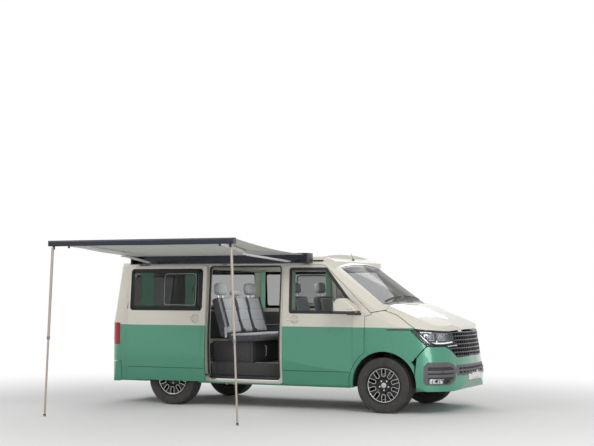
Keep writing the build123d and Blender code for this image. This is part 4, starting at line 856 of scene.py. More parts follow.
def make_wheel(corner, keeper):
    body = f"wheel_{corner}"
    low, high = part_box(f"rim_{corner}")
    centre = (low + high) / 2
    axis = Vector((0, -1 if centre.y < CY else 1, 0))
    across = AHEAD
    for name, (profile, material, steps) in TURNED.items():
        lathe(f"{body}_{name}", profile, centre, axis, across, material, body, steps=steps)

    def on_face(x, z, lift):
        return centre + Vector((x, 0, z)) + axis * lift

    slots = joined([ribbon_mesh(slot_path(2 * math.pi * k / SLOTS), 0.0055, EDGE_OUT - 0.001,
                                EDGE_OUT + 0.0028,
                                on_face) for k in range(SLOTS)])
    piece(f"{body}_slot_edges", *slots, "alloy", body, smooth=False)
    turns = [2 * math.pi * (k + 0.5) / BOLTS for k in range(BOLTS)]
    bolts = [bolt(on_face(math.sin(turn) * BOLT_CIRCLE, math.cos(turn) * BOLT_CIRCLE, 0),
                  axis) for turn in turns]
    piece(f"{body}_bolts", *joined(bolts), "alloy", body, smooth=False)
    valve = on_face(math.sin(0.314) * 0.2065, math.cos(0.314) * 0.2065, 0)
    tube(f"{body}_valve", [valve + axis * 0.070, valve + axis * 0.093], 0.0035, "rubber", body, sides=8)
    make_tyre(corner, centre, axis, across, body)
    # dust shield behind the brake disc: a real part, made wide and dark so that it is also painted shade
    # inside the wheel behind the slots
    lathe(f"{body}_dust_shield_and_shade", SHIELD_AND_SHADE, centre, axis, across, "liner", keeper, steps=48, closed=True)


TREAD_R = 0.3448
TREAD_BLOCKS = 72
# Half section of the tyre: (outward, radius)
TYRE_SECTION = [
    (0.0765, 0.2172), (0.088, 0.2172), (0.0928, 0.2185), (0.0938, 0.228), (0.1035, 0.2335), (0.1105, 0.245),
    (0.1152, 0.262), (0.1168, 0.281), (0.1170, 0.300), (0.1150, 0.318), (0.1095, 0.3325), (0.1010, 0.3405),
]
RIBS = [(-0.099, -0.068), (-0.060, -0.028), (-0.021, 0.021), (0.028, 0.060), (0.068, 0.099)]
GROOVE = 0.0075


def make_tyre(corner, centre, axis, across, body):
    side = axis.cross(across)
    section = [(-a, r) for a, r in TYRE_SECTION]
    for low, high in RIBS:
        section += [(low, TREAD_R - GROOVE if low > -0.09 else TREAD_R - 0.0015), (low, TREAD_R - 0.0004),
                    (high, TREAD_R - 0.0004), (high, TREAD_R - GROOVE if high < 0.09 else TREAD_R - 0.0015)]
    section += [(a, r) for a, r in reversed(TYRE_SECTION)]
    section += [(0.0765, 0.2175), (0.070, 0.2175), (0.094, 0.258), (0.094, 0.316), (0.086, 0.3245),
                (-0.086, 0.3245),
                (-0.094, 0.316), (-0.094, 0.258), (-0.070, 0.2175), (-0.0765, 0.2175)]
    steps = TREAD_BLOCKS * 2
    verts = []
    first_rib = len(TYRE_SECTION)
    for k in range(steps):
        turn = 2 * math.pi * k / steps
        for i, (a, r) in enumerate(section):
            rib = (i - first_rib) // 4
            radius, twist = r, turn
            if first_rib <= i < first_rib + 4 * len(RIBS):
                sway = 0.35 if rib % 2 else -0.35
                twist = turn + sway * (a - sum(RIBS[rib]) / 2) / TREAD_R
                if (i - first_rib) % 4 in (1, 2) and rib != 2 and k % 2 == 0:
                    radius = r - 0.0035
            radial = across * math.cos(twist) + side * math.sin(twist)
            verts.append(centre + axis * a + radial * radius)
    tyre = piece(f"{body}_tyre", verts, grid_faces(steps, len(section), True, True), "tyre", body)
    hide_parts(f"tyre_{corner}")
    # raised ribs on the outer wall, with no lettering
    for radius, out in ((0.300, 0.1171), (0.252, 0.1130)):
        profile = [(out - 0.0025, radius - 0.003), (out + 0.0003, radius - 0.001),
                   (out + 0.0003, radius + 0.001),
                   (out - 0.0025, radius + 0.003)]
        lathe(f"{body}_wall_rib_{int(radius * 1000)}", profile, centre, axis, across, "tyre", body, steps=96)


for corner, keeper in KEEPERS.items():
    make_wheel(corner, keeper)


# Nose: lamps, grille edges, bumper inserts and plate

CORNER_AXIS = Vector((0.775, 0.632, 0))
CORNER_NORMAL = Vector((0.632, -0.775, 0))


def corner_projector(side):
    """Places on the front corner: s runs forward and inward round the corner, z is height."""
    along = Vector((CORNER_AXIS.x, CORNER_AXIS.y * side, 0))
    out = Vector((CORNER_NORMAL.x, CORNER_NORMAL.y * side, 0))

    def project(s, z, lift):
        spot = at(0, 0, z) + along * s
        return cast(NOSE, spot + out * 3.0, -out, spot + out * 2.1, lift)
    return project


def patch(name, loop, middle, project, low, high, material, body="van", rings=5):
    """A closed plate that hugs a surface, between two lifts. loop goes round middle."""
    count = len(loop)
    size = count * rings + 1
    verts, faces = [], []
    for height in (high, low):
        base = len(verts)
        for k in range(rings):
            share = 1 - k / rings
            verts += [project(middle[0] + (a - middle[0]) * share, middle[1] + (b - middle[1]) * share,
                              height)
                      for a, b in loop]
        verts.append(project(*middle, height))
        last = base + (rings - 1) * count
        faces += grid_faces(rings, count, False, True, base)
        faces += [(last + i, last + (i + 1) % count, base + size - 1) for i in range(count)]
    faces += [(i, (i + 1) % count, size + (i + 1) % count, size + i) for i in range(count)]
    return piece(name, verts, faces, material, body, smooth=False)


def shaped(corners, radius=0.012):
    return rounded(corners, radius, 4, edge_counts(corners, 0.03))


# Headlight outlines in s and z
LAMP_OUTLINE = [(0.940, 1.030), (1.405, 1.004), (1.478, 0.872), (1.320, 0.832), (1.160, 0.836)]
LAMP_WEDGE = [(1.060, 0.910), (1.135, 0.858), (1.330, 0.858), (1.475, 0.874), (1.330, 0.834), (1.165, 0.838)]
LAMP_STRIP = [(1.000, 0.985), (1.040, 0.935), (1.085, 0.890), (1.125, 0.874), (1.200, 0.869), (1.300, 0.870),
              (1.400, 0.877), (1.455, 0.884)]
PROJECTORS = ((1.120, 0.945), (1.290, 0.948))


def make_headlight(name, side):
    project = corner_projector(side)
    middle = (1.22, 0.93)
    patch(f"{name}_headlight_housing", shaped(inset(LAMP_OUTLINE, 0.006)), middle, project, -0.040, -0.036,
          "black")
    band(f"{name}_headlight_border", LAMP_OUTLINE, 0.001, 0.013, (0.012, 0.012), project, 0.0008, "black",
         lift=0.0004)
    patch(f"{name}_headlight_wedge", shaped(LAMP_WEDGE, 0.008), (1.23, 0.850), project, 0.0004, 0.0012,
          "black",
          rings=2)
    ribbon(f"{name}_headlight_strip", LAMP_STRIP, 0.016, 0.004, project, "lamp_white", lift=-0.004)
    ribbon(f"{name}_headlight_tick", [(1.205, 0.876), (1.210, 0.905)], 0.012, 0.004, project, "lamp_white",
           lift=-0.004)
    ribbon(f"{name}_headlight_trim", [(1.00, 1.006), (1.15, 0.999), (1.28, 0.993), (1.39, 0.985)], 0.004,
           0.003, project,
           "reflector", lift=-0.012)
    for index, (s, z) in enumerate(PROJECTORS):
        spot = project(s, z, -0.030)
        ahead = Vector((0.80, -0.60 * side, 0)).normalized()
        across = UP
        lathe(f"{name}_headlight_lens_{index}", [(0.004, 0.031), (0.012, 0.029), (0.019, 0.022),
                                                 (0.023, 0.012),
              (0.024, 0.0)], spot, ahead, across, "lens", steps=32)
        lathe(f"{name}_headlight_bezel_{index}", [(0.0, 0.034), (0.010, 0.0345), (0.012, 0.037),
                                                  (0.002, 0.041)], spot,
              ahead, across, "reflector", steps=32)
        low, high = s - 0.062, s + 0.062
        frame_loop = [(low, z - 0.040), (low - 0.010, z + 0.034), (high - 0.010, z + 0.034),
                      (high, z - 0.040)]
        band(f"{name}_headlight_cell_{index}", frame_loop, 0, 0.007, (0.012, 0.009), project, 0.010,
             "reflector",
             lift=-0.028)


GRILLE_BARS = ((0.712, 0.500), (0.752, 0.560), (0.802, 0.622), (0.852, 0.490), (0.902, 0.497),
               (0.952, 0.512),
               (0.996, 0.526))
for name, side in (("right", RIGHT), ("left", LEFT)):
    make_headlight(name, side)

for index, (z, half) in enumerate(GRILLE_BARS):
    steps = 28
    route = [(-half + 2 * half * k / steps, z + 0.004) for k in range(steps + 1)]
    ribbon(f"grille_edge_{index}", route, 0.0035, 0.0016, on_nose, "satin_dark")
for name, sign in (("right", -1), ("left", 1)):
    low_strip = [(sign * y, z) for y, z in ((0.470, 0.842), (0.53, 0.838), (0.60, 0.834), (0.662, 0.829))]
    ribbon(f"{name}_grille_strip", low_strip, 0.011, 0.002, on_nose, "silver", lift=0.001)

# Bumper inserts in s and z: dark field, two bars, sensor and fog lamp
INSERT_FIELD = [(1.075, 0.585), (1.400, 0.585), (1.455, 0.545), (1.425, 0.440), (1.330, 0.372),
                (1.085, 0.376)]
INSERT_BARS = (0.520, 0.468)
FOG_LAMP = [(1.100, 0.436), (1.290, 0.436), (1.262, 0.380), (1.100, 0.380)]


def make_insert(name, side):
    project = corner_projector(side)
    middle = (1.25, 0.48)
    patch(f"{name}_insert_field", shaped(INSERT_FIELD, 0.02), middle, project, 0.0003, 0.0010, "rubber",
          rings=4)
    band(f"{name}_insert_rim", INSERT_FIELD, -0.006, 0.004, (0.024, 0.016), project, 0.005, "insert",
         lift=0.0)
    for index, z in enumerate(INSERT_BARS):
        route = [(1.080 + 0.36 * k / 16, z + 0.006 * k / 16) for k in range(17)]
        ribbon(f"{name}_insert_bar_{index}", route, 0.028, 0.009, project, "insert", lift=0.0)
        ribbon(f"{name}_insert_bar_edge_{index}", [(s, z + 0.013) for s, z in route], 0.003, 0.002, project,
               "satin_dark", lift=0.009)
    spot = project(1.262, 0.522, 0.009)
    lathe(f"{name}_insert_sensor", [(0.0, 0.0095), (0.0015, 0.0095), (0.002, 0.008), (0.002, 0.0)], spot,
          Vector((0.75, -0.66 * side, 0)), UP, "rubber", steps=24)
    patch(f"{name}_fog_lamp", shaped(FOG_LAMP, 0.012), (1.19, 0.41), project, 0.0005, 0.004, "reflector",
          rings=3)
    band(f"{name}_fog_frame", FOG_LAMP, -0.006, 0.001, (0.016, 0.012), project, 0.007, "insert", lift=0.0)
    for index, s in enumerate((1.135, 1.180, 1.225)):
        ribbon(f"{name}_fog_rib_{index}", [(s, 0.382), (s, 0.434)], 0.006, 0.003, project, "rubber",
               lift=0.004)


for name, side in (("right", RIGHT), ("left", LEFT)):
    make_insert(name, side)

# Blank number plate on its base
PLATE_HALF = 0.26
PLATE_Z = 0.456


def bent_plate(name, half, height, low, high, material):
    """A plate that follows the bumper's bow."""
    corners = [(-half, PLATE_Z - height / 2), (half, PLATE_Z - height / 2), (half, PLATE_Z + height / 2),
               (-half, PLATE_Z + height / 2)]
    patch(name, shaped(corners, 0.006), (0, PLATE_Z), on_nose, low, high, material, rings=2)


bent_plate("plate_base", PLATE_HALF + 0.006, 0.122, 0.0002, 0.0010, "trim")
bent_plate("front_plate", PLATE_HALF, 0.110, 0.0010, 0.0022, "plate")

# Blank strip on each wing above the arch
for name, project, side in (("right", on_right, RIGHT), ("left", on_left, LEFT)):
    ribbon(f"{name}_wing_strip", [(1.600 + 0.29 * k / 8, 1.036) for k in range(9)], 0.024, 0.0015, project,
           "trim")
    ribbon(f"{name}_wing_strip_edge", [(1.600 + 0.29 * k / 8, 1.0485) for k in range(9)], 0.0025, 0.002,
           project,
           "silver")


def ridge(name, route, width, height, project, material, body="van"):
    """A soft raised crease along a route, faded out at both ends."""
    shape = ((-0.5, -0.001), (-0.25, height * 0.35), (0.0, height), (0.25, height * 0.35), (0.5, -0.001))
    verts = []
    for i, here in enumerate(route):
        before, after = Vector(route[max(0, i - 1)]), Vector(route[min(len(route) - 1, i + 1)])
        along = (after - before).normalized()
        across = Vector((-along.y, along.x)) * width
        fade = min(1.0, i / 3, (len(route) - 1 - i) / 3)
        for share, lift in shape:
            a, b = Vector(here) + across * share
            verts.append(project(a, b, lift * fade - 0.0008 * (1 - fade)))
    return piece(name, verts, grid_faces(len(route), len(shape)), material, body)


for name, sign in (("right", -1), ("left", 1)):
    route = [(1.66 + 0.60 * k / 14, sign * (0.58 - 0.20 * (k / 14) ** 1.4)) for k in range(15)]
    ridge(f"{name}_bonnet_crease", route, 0.05, 0.004, on_bonnet, "cream", "engine_lid")


# Interior: seats, belts and trims


def stations(half, radius, step, seams=()):
    """Places along one side of a cushion: close together where it turns and beside a seam."""
    places = [half - radius * (1 - math.sin(math.radians(angle))) for angle in (0, 18, 36, 54, 72, 90)]
    flat = half - radius
    spans = max(1, math.ceil(2 * flat / step))
    places = [-p for p in places] + places + [-flat + 2 * flat * k / spans for k in range(1, spans)]
    for seam in seams:
        places += [seam * half + shift for shift in (-0.012, -0.006, -0.002, 0.002, 0.006, 0.012)]
    places = sorted(places)
    return [p for i, p in enumerate(places) if i == 0 or p - places[i - 1] > 0.0008]


def cushion(name, centre, tilt, half, material, body="van", radius=0.02, crown=0.010, pull=0.006, corner=0.0,
            seams=(), cross_seams=(), depth=0.006):
    """An upholstered pad. half is (up or back, through, across); tilt is its rise from level in degrees."""
    rise = math.radians(tilt)
    along = Vector((math.cos(rise), 0, math.sin(rise)))
    face = Vector((-math.sin(rise), 0, math.cos(rise)))
    if tilt > 60:
        face = -face
    across = ACROSS
    radius = min(radius, min(half) * 0.95)
    grids = [stations(half[0], radius, 0.03, seams), stations(half[1], radius, 0.03),
             stations(half[2], radius, 0.03, cross_seams)]

    def shaped_point(p):
        inner = [max(-h + radius, min(h - radius, c)) for c, h in zip(p, half)]
        delta = Vector([c - i for c, i in zip(p, inner)])
        if delta.length > 1e-9:
            delta = delta.normalized() * radius
        q = [i + d for i, d in zip(inner, delta)]
        a, b, c = (q[k] / half[k] for k in range(3))
        dome = max(0.0, 1 - a * a) * max(0.0, 1 - c * c)
        through = q[1] * (1 - crown / half[1]) + crown * b * dome ** 0.6
        narrow = 1 - corner * (a * c) ** 2
        long_side = q[0] * narrow - math.copysign(pull * (1 - c * c) * a * a, q[0])
        wide_side = q[2] * narrow - math.copysign(pull * (1 - a * a) * c * c, q[2])
        if b > 0:
            for seam in seams:
                through -= depth * b * math.exp(-((q[0] - seam * half[0]) / 0.006) ** 2)
            for seam in cross_seams:
                through -= depth * b * math.exp(-((q[2] - seam * half[2]) / 0.006) ** 2)
            through += 0.0022 * b * noise_at(Vector((q[0] * 9, q[2] * 9, centre[0] * 5)))
        return centre + along * long_side + face * through + across * wide_side

    parts = []
    for fixed in range(3):
        one, two = [k for k in range(3) if k != fixed]
        for sign in (-1, 1):
            points = []
            for u in grids[one]:
                for v in grids[two]:
                    p = [0.0, 0.0, 0.0]
                    p[fixed], p[one], p[two] = sign * half[fixed], u, v
                    points.append(shaped_point(p))
            parts.append((points, grid_faces(len(grids[one]), len(grids[two]))))
    obj = piece(name, *joined(parts), material, body)
    return obj


BENCH_PARTS = {"right": (-0.5235, 0.2095), "middle": (-0.136, 0.168), "left": (0.257, 0.215)}
BENCH_Y = -0.130
BENCH_HALF = 0.608
SEAT_RISE = 1.5
BENCH_LEAN = 106.3
LEAN_UP = Vector((math.cos(math.radians(BENCH_LEAN)), 0, math.sin(math.radians(BENCH_LEAN))))
LEAN_OUT = Vector((LEAN_UP.z, 0, -LEAN_UP.x))
BACK_FRONT = Vector((-0.7725, 0, 1.1825))


def back_place(up, out, y):
    """A point on the bench's backrest: metres up it, metres out from its front face, vehicle y."""
    return BACK_FRONT + LEAN_UP * up + LEAN_OUT * out + Vector((0, CY + y, 0))


def make_bench():
    shell = cushion("bench_back_shell", back_place(0.0, -0.0777, BENCH_Y), BENCH_LEAN,
                    (0.262, 0.0597, BENCH_HALF),
                    "seat_dark", radius=0.035, crown=0.004, pull=0.003)
    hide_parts("seat_cushions")
    cushion("bench_seat_base", at(-0.485, BENCH_Y, 0.8925), SEAT_RISE, (0.232, 0.046, BENCH_HALF),
            "seat_dark", radius=0.034,
            crown=0.003, pull=0.003)
    for name, (y, half) in BENCH_PARTS.items():
        cushion(f"bench_back_{name}", back_place(0.008, -0.026, y), BENCH_LEAN, (0.240, 0.030, half - 0.004),
                "seat",
                radius=0.024, crown=0.009, pull=0.004, seams=(-0.36, 0.30))
        cushion(f"bench_seat_{name}", at(-0.478, y, 0.926), SEAT_RISE, (0.205, 0.027, half - 0.004), "seat",
                radius=0.022, crown=0.008, pull=0.004, seams=(0.0,))
    for name, y, half, z, tall in (("right", -0.575, 0.138, 1.535, 0.088),
                                   ("left", 0.305, 0.138, 1.535, 0.088),
                                   ("middle", -0.136, 0.115, 1.484, 0.048)):
        cushion(f"bench_headrest_{name}", at(-0.915, y, z), 96, (tall, 0.052, half), "seat", radius=0.049,
                crown=0.010, pull=0.002, corner=0.17)
        for side in (-1, 1):
            post = [at(-0.905, y + side * 0.062, 1.400), at(-0.915, y + side * 0.062, z - tall + 0.02)]
            tube(f"bench_headrest_post_{name}_{side + 1}", post, 0.006, "chrome")


def strap(name, route, width, material, body="van", across=ACROSS, thick=0.0012):
    """Flat webbing along points, its width along across."""
    rings = []
    for k, point in enumerate(route):
        before, after = route[max(0, k - 1)], route[min(len(route) - 1, k + 1)]
        normal = (after - before).cross(across).normalized() * (thick / 2)
        rings.append([point + across * (s * width / 2) + normal * t for s,
                      t in ((-1, -1), (1, -1), (1, 1), (-1, 1))])
    return piece(name, *swept(rings), material, body, smooth=False)


BELT_GAPS = (("right", -0.306), ("left", 0.036))
SIDE_BELTS = (("right", -0.700), ("left", 0.440))


def make_belts():
    """Belts hang in the two gaps of the backrest, and their buckles stand up at the seat's rear edge."""
    for name, y in BELT_GAPS:
        route = [back_place(0.256 - 0.052 * k, 0.010 + 0.006 * math.sin(k * 0.9),
                            y + 0.006 * math.sin(k * 0.7))
                 for k in range(10)]
        strap(f"bench_belt_{name}", route, 0.048, "belt")
        for k, shift in enumerate((-0.030, 0.030)):
            low = at(-0.705, y + shift - 0.014, 0.935)
            block(f"buckle_{name}_{k}", low, low + Vector((0.020, 0.028, 0.062)), "shell", bevel=0.005)
            block(f"buckle_button_{name}_{k}", low + Vector((0.004, 0.005, 0.058)),
                  low + Vector((0.017, 0.023, 0.066)),
                  "red", bevel=0.002)
    for name, y in SIDE_BELTS:
        strap(f"bench_side_belt_{name}", [back_place(0.250 - 0.05 * k, 0.012, y) for k in range(9)], 0.046,
              "belt")
    lever = [back_place(-0.150 - 0.02 * k, -0.020 - 0.004 * k, -0.7415) for k in range(8)]
    strap("bench_side_lever", lever, 0.030, "silver", across=LEAN_OUT, thick=0.008)


BASE_FRONT = -0.390
BASE_RIGHT = -0.640
BASE_LOW, BASE_TOP = 0.585, 0.835
RAIL_FRONT, RAIL_REAR = 0.290, -0.985


def make_base():
    """The drawer front with its upright handle, the side panel, and the floor rails."""
    block("drawer_front", at(BASE_FRONT, -0.600, BASE_LOW), at(BASE_FRONT + 0.012, 0.520, BASE_TOP), "shell",
          bevel=0.010)
    for k, y in enumerate((-0.300, 0.200)):
        tube(f"drawer_handle_{k}", [at(BASE_FRONT + 0.010, y, 0.640), at(BASE_FRONT + 0.030, y, 0.652),
                                    at(BASE_FRONT + 0.030, y, 0.768), at(BASE_FRONT + 0.010, y, 0.780)],
             0.0075,
             "silver")
    block("base_side_panel", at(-0.970, BASE_RIGHT - 0.010, BASE_LOW), at(-0.430, BASE_RIGHT, BASE_TOP),
          "shell",
          bevel=0.008)
    for k, y in enumerate((-0.560, 0.440)):
        block(f"floor_rail_{k}", at(RAIL_REAR, y - 0.024, 0.5605), at(RAIL_FRONT, y + 0.024, 0.568),
              "silver",
              bevel=0.003)
        block(f"floor_rail_slot_{k}", at(RAIL_REAR + 0.005, y - 0.007, 0.5670),
              at(RAIL_FRONT - 0.005, y + 0.007, 0.5684), "steel",
              bevel=0.0005)


DOORWAY = [(-0.905, 0.377), (-0.905, 1.829), (0.120, 1.829), (0.120, 0.377)]
JAMB_STEP = 0.028
# Half the body's width: a bow below the glass, a straight lean above its foot
GLASS_Z, GLASS_HALF, GLASS_LEAN = 1.21, 0.930, 0.0784
WALL_BOW, WALL_DROP = 0.09351, 0.14993


def wall_depth(z):
    """Half the body's width at z, on the straight part of its side."""
    if z > GLASS_Z:
        return GLASS_HALF - (z - GLASS_Z) * GLASS_LEAN
    return SILL_HALF + WALL_BOW * (z - SILL_Z) - WALL_DROP * (z - SILL_Z) * (z - WAIST_Z)


def make_doorway():
    """The rubber seal round the side doorway, the sill plate and the step's tread."""
    counts = edge_counts(DOORWAY)
    section = ((-0.010, 0.0006), (-0.010, 0.009), (0.004, 0.010), (0.006, -0.020))
    loops = [rounded(inset(DOORWAY, distance), 0.046 - distance, 8, counts) for distance, _ in section]
    outer_y = [CY - wall_depth(z) + JAMB_STEP for _, z in loops[0]]
    rings = [[Vector((x, y - lift, z)) for (x, z), y in zip(loop, outer_y)] for loop, (_, lift) in
             zip(loops, section)]
    piece("doorway_seal", *swept(rings, True), "rubber")
    sill_y = CY - wall_depth(0.352) + JAMB_STEP
    block("sill_plate", Vector((-0.880, sill_y - 0.002, 0.345)), Vector((0.100, sill_y + 0.004, 0.363)),
          "chrome",
          bevel=0.001)
    for k in range(9):
        low = at(-0.850, -0.800 + 0.018 * k, 0.4005)
        block(f"step_rib_{k}", low, low + Vector((0.900, 0.008, 0.003)), "rubber", bevel=0.001)


LEFT_WALL = tree_of("left_body_side", "side_windows", "roof_frame")
RIGHT_WALL = tree_of("right_body_side")


def inner_wall(x, z, side, lift):
    """The point of a side wall's inner face at x, z, lifted into the room."""
    start = at(x, -side * 0.50, z)
    tree = RIGHT_WALL if side > 0 else LEFT_WALL
    hit, _, _, _ = tree.ray_cast(start, Vector((0, -side, 0)))
    y = hit.y if hit is not None else CY - side * 0.86
    return Vector((x, y + side * lift, z))


def on_inner(side):
    return lambda x, z, lift: inner_wall(x, z, side, lift)


def wall_panel(name, corners, side, material, lift=0.004, thick=0.012):
    """A trim panel on a side wall's inner face. corners is (left, right, low, high)."""
    left, right, low, high = corners
    raised(name, [(left, low), (left, high), (right, high), (right, low)], on_inner(side), thick, material,
           radius=0.03, lift=lift)


def inside_door(side):
    tree = tree_of("right_front_door" if side > 0 else "left_front_door")

    def place(x, z, lift):
        hit, _, _, _ = tree.ray_cast(at(x, -side * 0.6, z), Vector((0, -side, 0)))
        return hit + Vector((0, side * lift, 0))

    return place


def make_door_trims():
    """The front doors' inner panels, each with an armrest and a bottle shelf."""
    for side, name in ((RIGHT, "right"), (LEFT, "left")):
        body, place = f"{name}_door", inside_door(side)
        raised(f"{name}_door_trim", [(0.225, 0.400), (0.225, 1.190), (1.060, 1.190), (1.060, 0.860),
                                     (0.960, 0.400)],
               place, 0.006, "trim", body, radius=0.04, lift=0.0008)
        raised(f"{name}_armrest", [(0.300, 0.955), (0.300, 1.010), (0.820, 1.040), (0.820, 0.985)], place,
               0.034,
               "shell", body, radius=0.02, lift=0.006)
        raised(f"{name}_door_shelf", [(0.300, 0.450), (0.300, 0.600), (0.880, 0.600), (0.880, 0.450)], place,
               0.028,
               "shell", body, radius=0.03, lift=0.006)


def make_trims():
    wall_panel("left_side_trim", (-1.000, 0.130, 0.580, 1.215), -1, "trim")
    wall_panel("left_trim_field", (-0.930, 0.070, 0.700, 0.985), -1, "seat_dark", lift=0.016, thick=0.008)
    strap("left_trim_line", [inner_wall(-0.960 + 0.04 * k, 1.030, -1, 0.020) for k in range(27)], 0.012,
          "silver",
          across=UP, thick=0.006)
    for name, side in (("left", -1), ("right", 1)):
        wall_panel(f"{name}_rear_trim", (-2.000, -1.060, 0.820, 1.215), side, "trim")


CAB_SEAT_Y = 0.410
# The cab seats' backs rise from their foot to their top in x and z
CAB_LEAN = math.atan2(1.460 - 0.880, 0.215 - 0.330)


def make_front_seats():
    """Two cab seats: a dark shell with light pads, a head restraint and a belt buckle."""
    lean = math.degrees(CAB_LEAN)
    up = Vector((math.cos(CAB_LEAN), 0, math.sin(CAB_LEAN)))
    out = Vector((up.z, 0, -up.x))
    for name, y in (("right", -CAB_SEAT_Y), ("left", CAB_SEAT_Y)):
        front = Vector((0.2725, CY + y, 1.170))
        cushion(f"{name}_seat_shell", front - out * 0.068, lean, (0.292, 0.052, 0.250), "seat_dark",
                radius=0.04,
                crown=0.008, pull=0.004, corner=0.03)
        cushion(f"{name}_seat_back", front - out * 0.028, lean, (0.262, 0.034, 0.205), "seat", radius=0.030,
                crown=0.014, pull=0.006, corner=0.05, seams=(-0.35, 0.30))
        cushion(f"{name}_seat_base", at(0.560, y, 0.842), 3, (0.262, 0.055, 0.252), "seat_dark",
                radius=0.045,
                crown=0.006, pull=0.004)
        cushion(f"{name}_seat_pad", at(0.575, y, 0.878), 3, (0.230, 0.032, 0.205), "seat", radius=0.028,
                crown=0.010,
                pull=0.005, seams=(-0.15, 0.45))
        cushion(f"{name}_seat_headrest", at(0.118, y, 1.556), 98, (0.078, 0.045, 0.128), "seat",
                radius=0.042,
                crown=0.008, pull=0.002, corner=0.10)
        for side in (-1, 1):
            post = [at(0.128, y + side * 0.055, 1.440), at(0.120, y + side * 0.055, 1.500)]
            tube(f"{name}_headrest_post_{side + 1}", post, 0.006, "chrome")
        low = at(0.330, y - math.copysign(0.262, y), 0.860)
        block(f"{name}_seat_buckle", low, low + Vector((0.024, 0.014, 0.070)), "red", bevel=0.004)


def gathered(name, top, width, drop, flat_width, body, side, material="curtain"):
    """A curtain in even folds: top is its upper rear corner, width its gathered width along x."""
    folds = max(3, round(flat_width / 0.075))
    columns, rows = folds * 8, 10
    amplitude = fold_depth(width, flat_width, folds)
    verts = []
    for row in range(rows + 1):
        for column in range(columns + 1):
            s = column / columns
            y = top.y + side * amplitude * math.sin(2 * math.pi * folds * s)
            verts.append(Vector((top.x + width * s, y, top.z - drop * row / rows)))
    obj = piece(name, verts, grid_faces(rows + 1, columns + 1), material, body)
    solidified(obj, 0.0008)
    rail = tube(name + "_rail", [top + Vector((-0.01, 0, 0.002)), top + Vector((width + 0.01, 0, 0.002))],
                0.004,
                "silver", body)
    return obj


def fold_depth(width, flat_width, folds):
    """The wave's amplitude that takes up flat_width of cloth in width."""
    low, high = 0.0, 0.2
    for _ in range(40):
        amplitude = (low + high) / 2
        length, last = 0.0, None
        for k in range(161):
            s = k / 160
            point = (width * s, amplitude * math.sin(2 * math.pi * folds * s))
            if last:
                length += math.hypot(point[0] - last[0], point[1] - last[1])
            last = point
        low, high = (amplitude, high) if length < flat_width else (low, amplitude)
    return amplitude


make_bench()
make_belts()
make_base()
make_doorway()
make_trims()
make_door_trims()
make_front_seats()


# Awning canopy, arms and legs, roof bellows, curtains

CASE_MOUTH = (-1.015, 1.970)
BAR_SLOT = (-2.939, 2.100)
CANOPY_ENDS = (-1.960, 0.530)
SAG = 0.030
EDGE_CURL, EDGE_IN = 0.006, 0.010
CANOPY_THICK = 0.0012


def canopy_place(x, t, drop):
    """A point on the slope from the case's mouth, t = 0, to the bar, t = 1, let down by drop."""
    y, z = (mouth + (slot - mouth) * t for mouth, slot in zip(CASE_MOUTH, BAR_SLOT))
    return at(x, y, z - drop)


def make_canopy():
    """One sheet from the case's mouth to the bar. It hangs a little and its ends curl down."""
    columns, rows = 84, 64
    verts = []
    for i in range(columns + 1):
        s = i / columns
        x = CANOPY_ENDS[0] + (CANOPY_ENDS[1] - CANOPY_ENDS[0]) * s
        edge = abs(2 * s - 1) ** 6
        for j in range(rows + 1):
            t = j / rows
            hang = math.sin(math.pi * t)
            pull = 0.0016 * math.sin(2 * math.pi * 7 * s) * (1 - t) * hang
            drop = SAG * hang * (0.55 + 0.45 * math.sin(math.pi * s)) + EDGE_CURL * edge * hang - pull
            verts.append(canopy_place(x - math.copysign(EDGE_IN, s - 0.5) * hang * edge, t, drop))
    canopy = piece("canopy", verts, grid_faces(columns + 1, rows + 1), "canopy")
    solidified(canopy, CANOPY_THICK)
    mesh = baked(canopy)
    canopy.modifiers.clear()
    canopy.data = mesh
    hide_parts("awning_canopy")
    hems = []
    for k, x in enumerate((CANOPY_ENDS[0] + 0.004, CANOPY_ENDS[1] - 0.004)):
        hangs = [math.sin(math.pi * j / 24) for j in range(25)]
        path = [canopy_place(x - math.copysign(EDGE_IN, k - 0.5) * hang, j / 24,
                             (SAG * 0.55 + EDGE_CURL) * hang)
                for j, hang in enumerate(hangs)]
        hems.append(tube(f"canopy_hem_{k}", path, 0.0022, "canopy", sides=8))
    for obj in [canopy] + hems:
        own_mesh(obj)


AWNING_X = -0.715
SHOULDER_Y, SHOULDER_Z = -1.030, 1.900
ELBOW_Y = -1.9715
WRIST_Y, WRIST_Z = -2.914, 2.040
PIVOT_X, ELBOW_X = 1.030, 0.860
ARM_RISE = math.atan2(WRIST_Z - SHOULDER_Z, SHOULDER_Y - WRIST_Y)
ARM_UP = Vector((0, math.sin(ARM_RISE), math.cos(ARM_RISE)))


def arm_place(x, y):
    return at(x, y, SHOULDER_Z + (SHOULDER_Y - y) * math.tan(ARM_RISE))


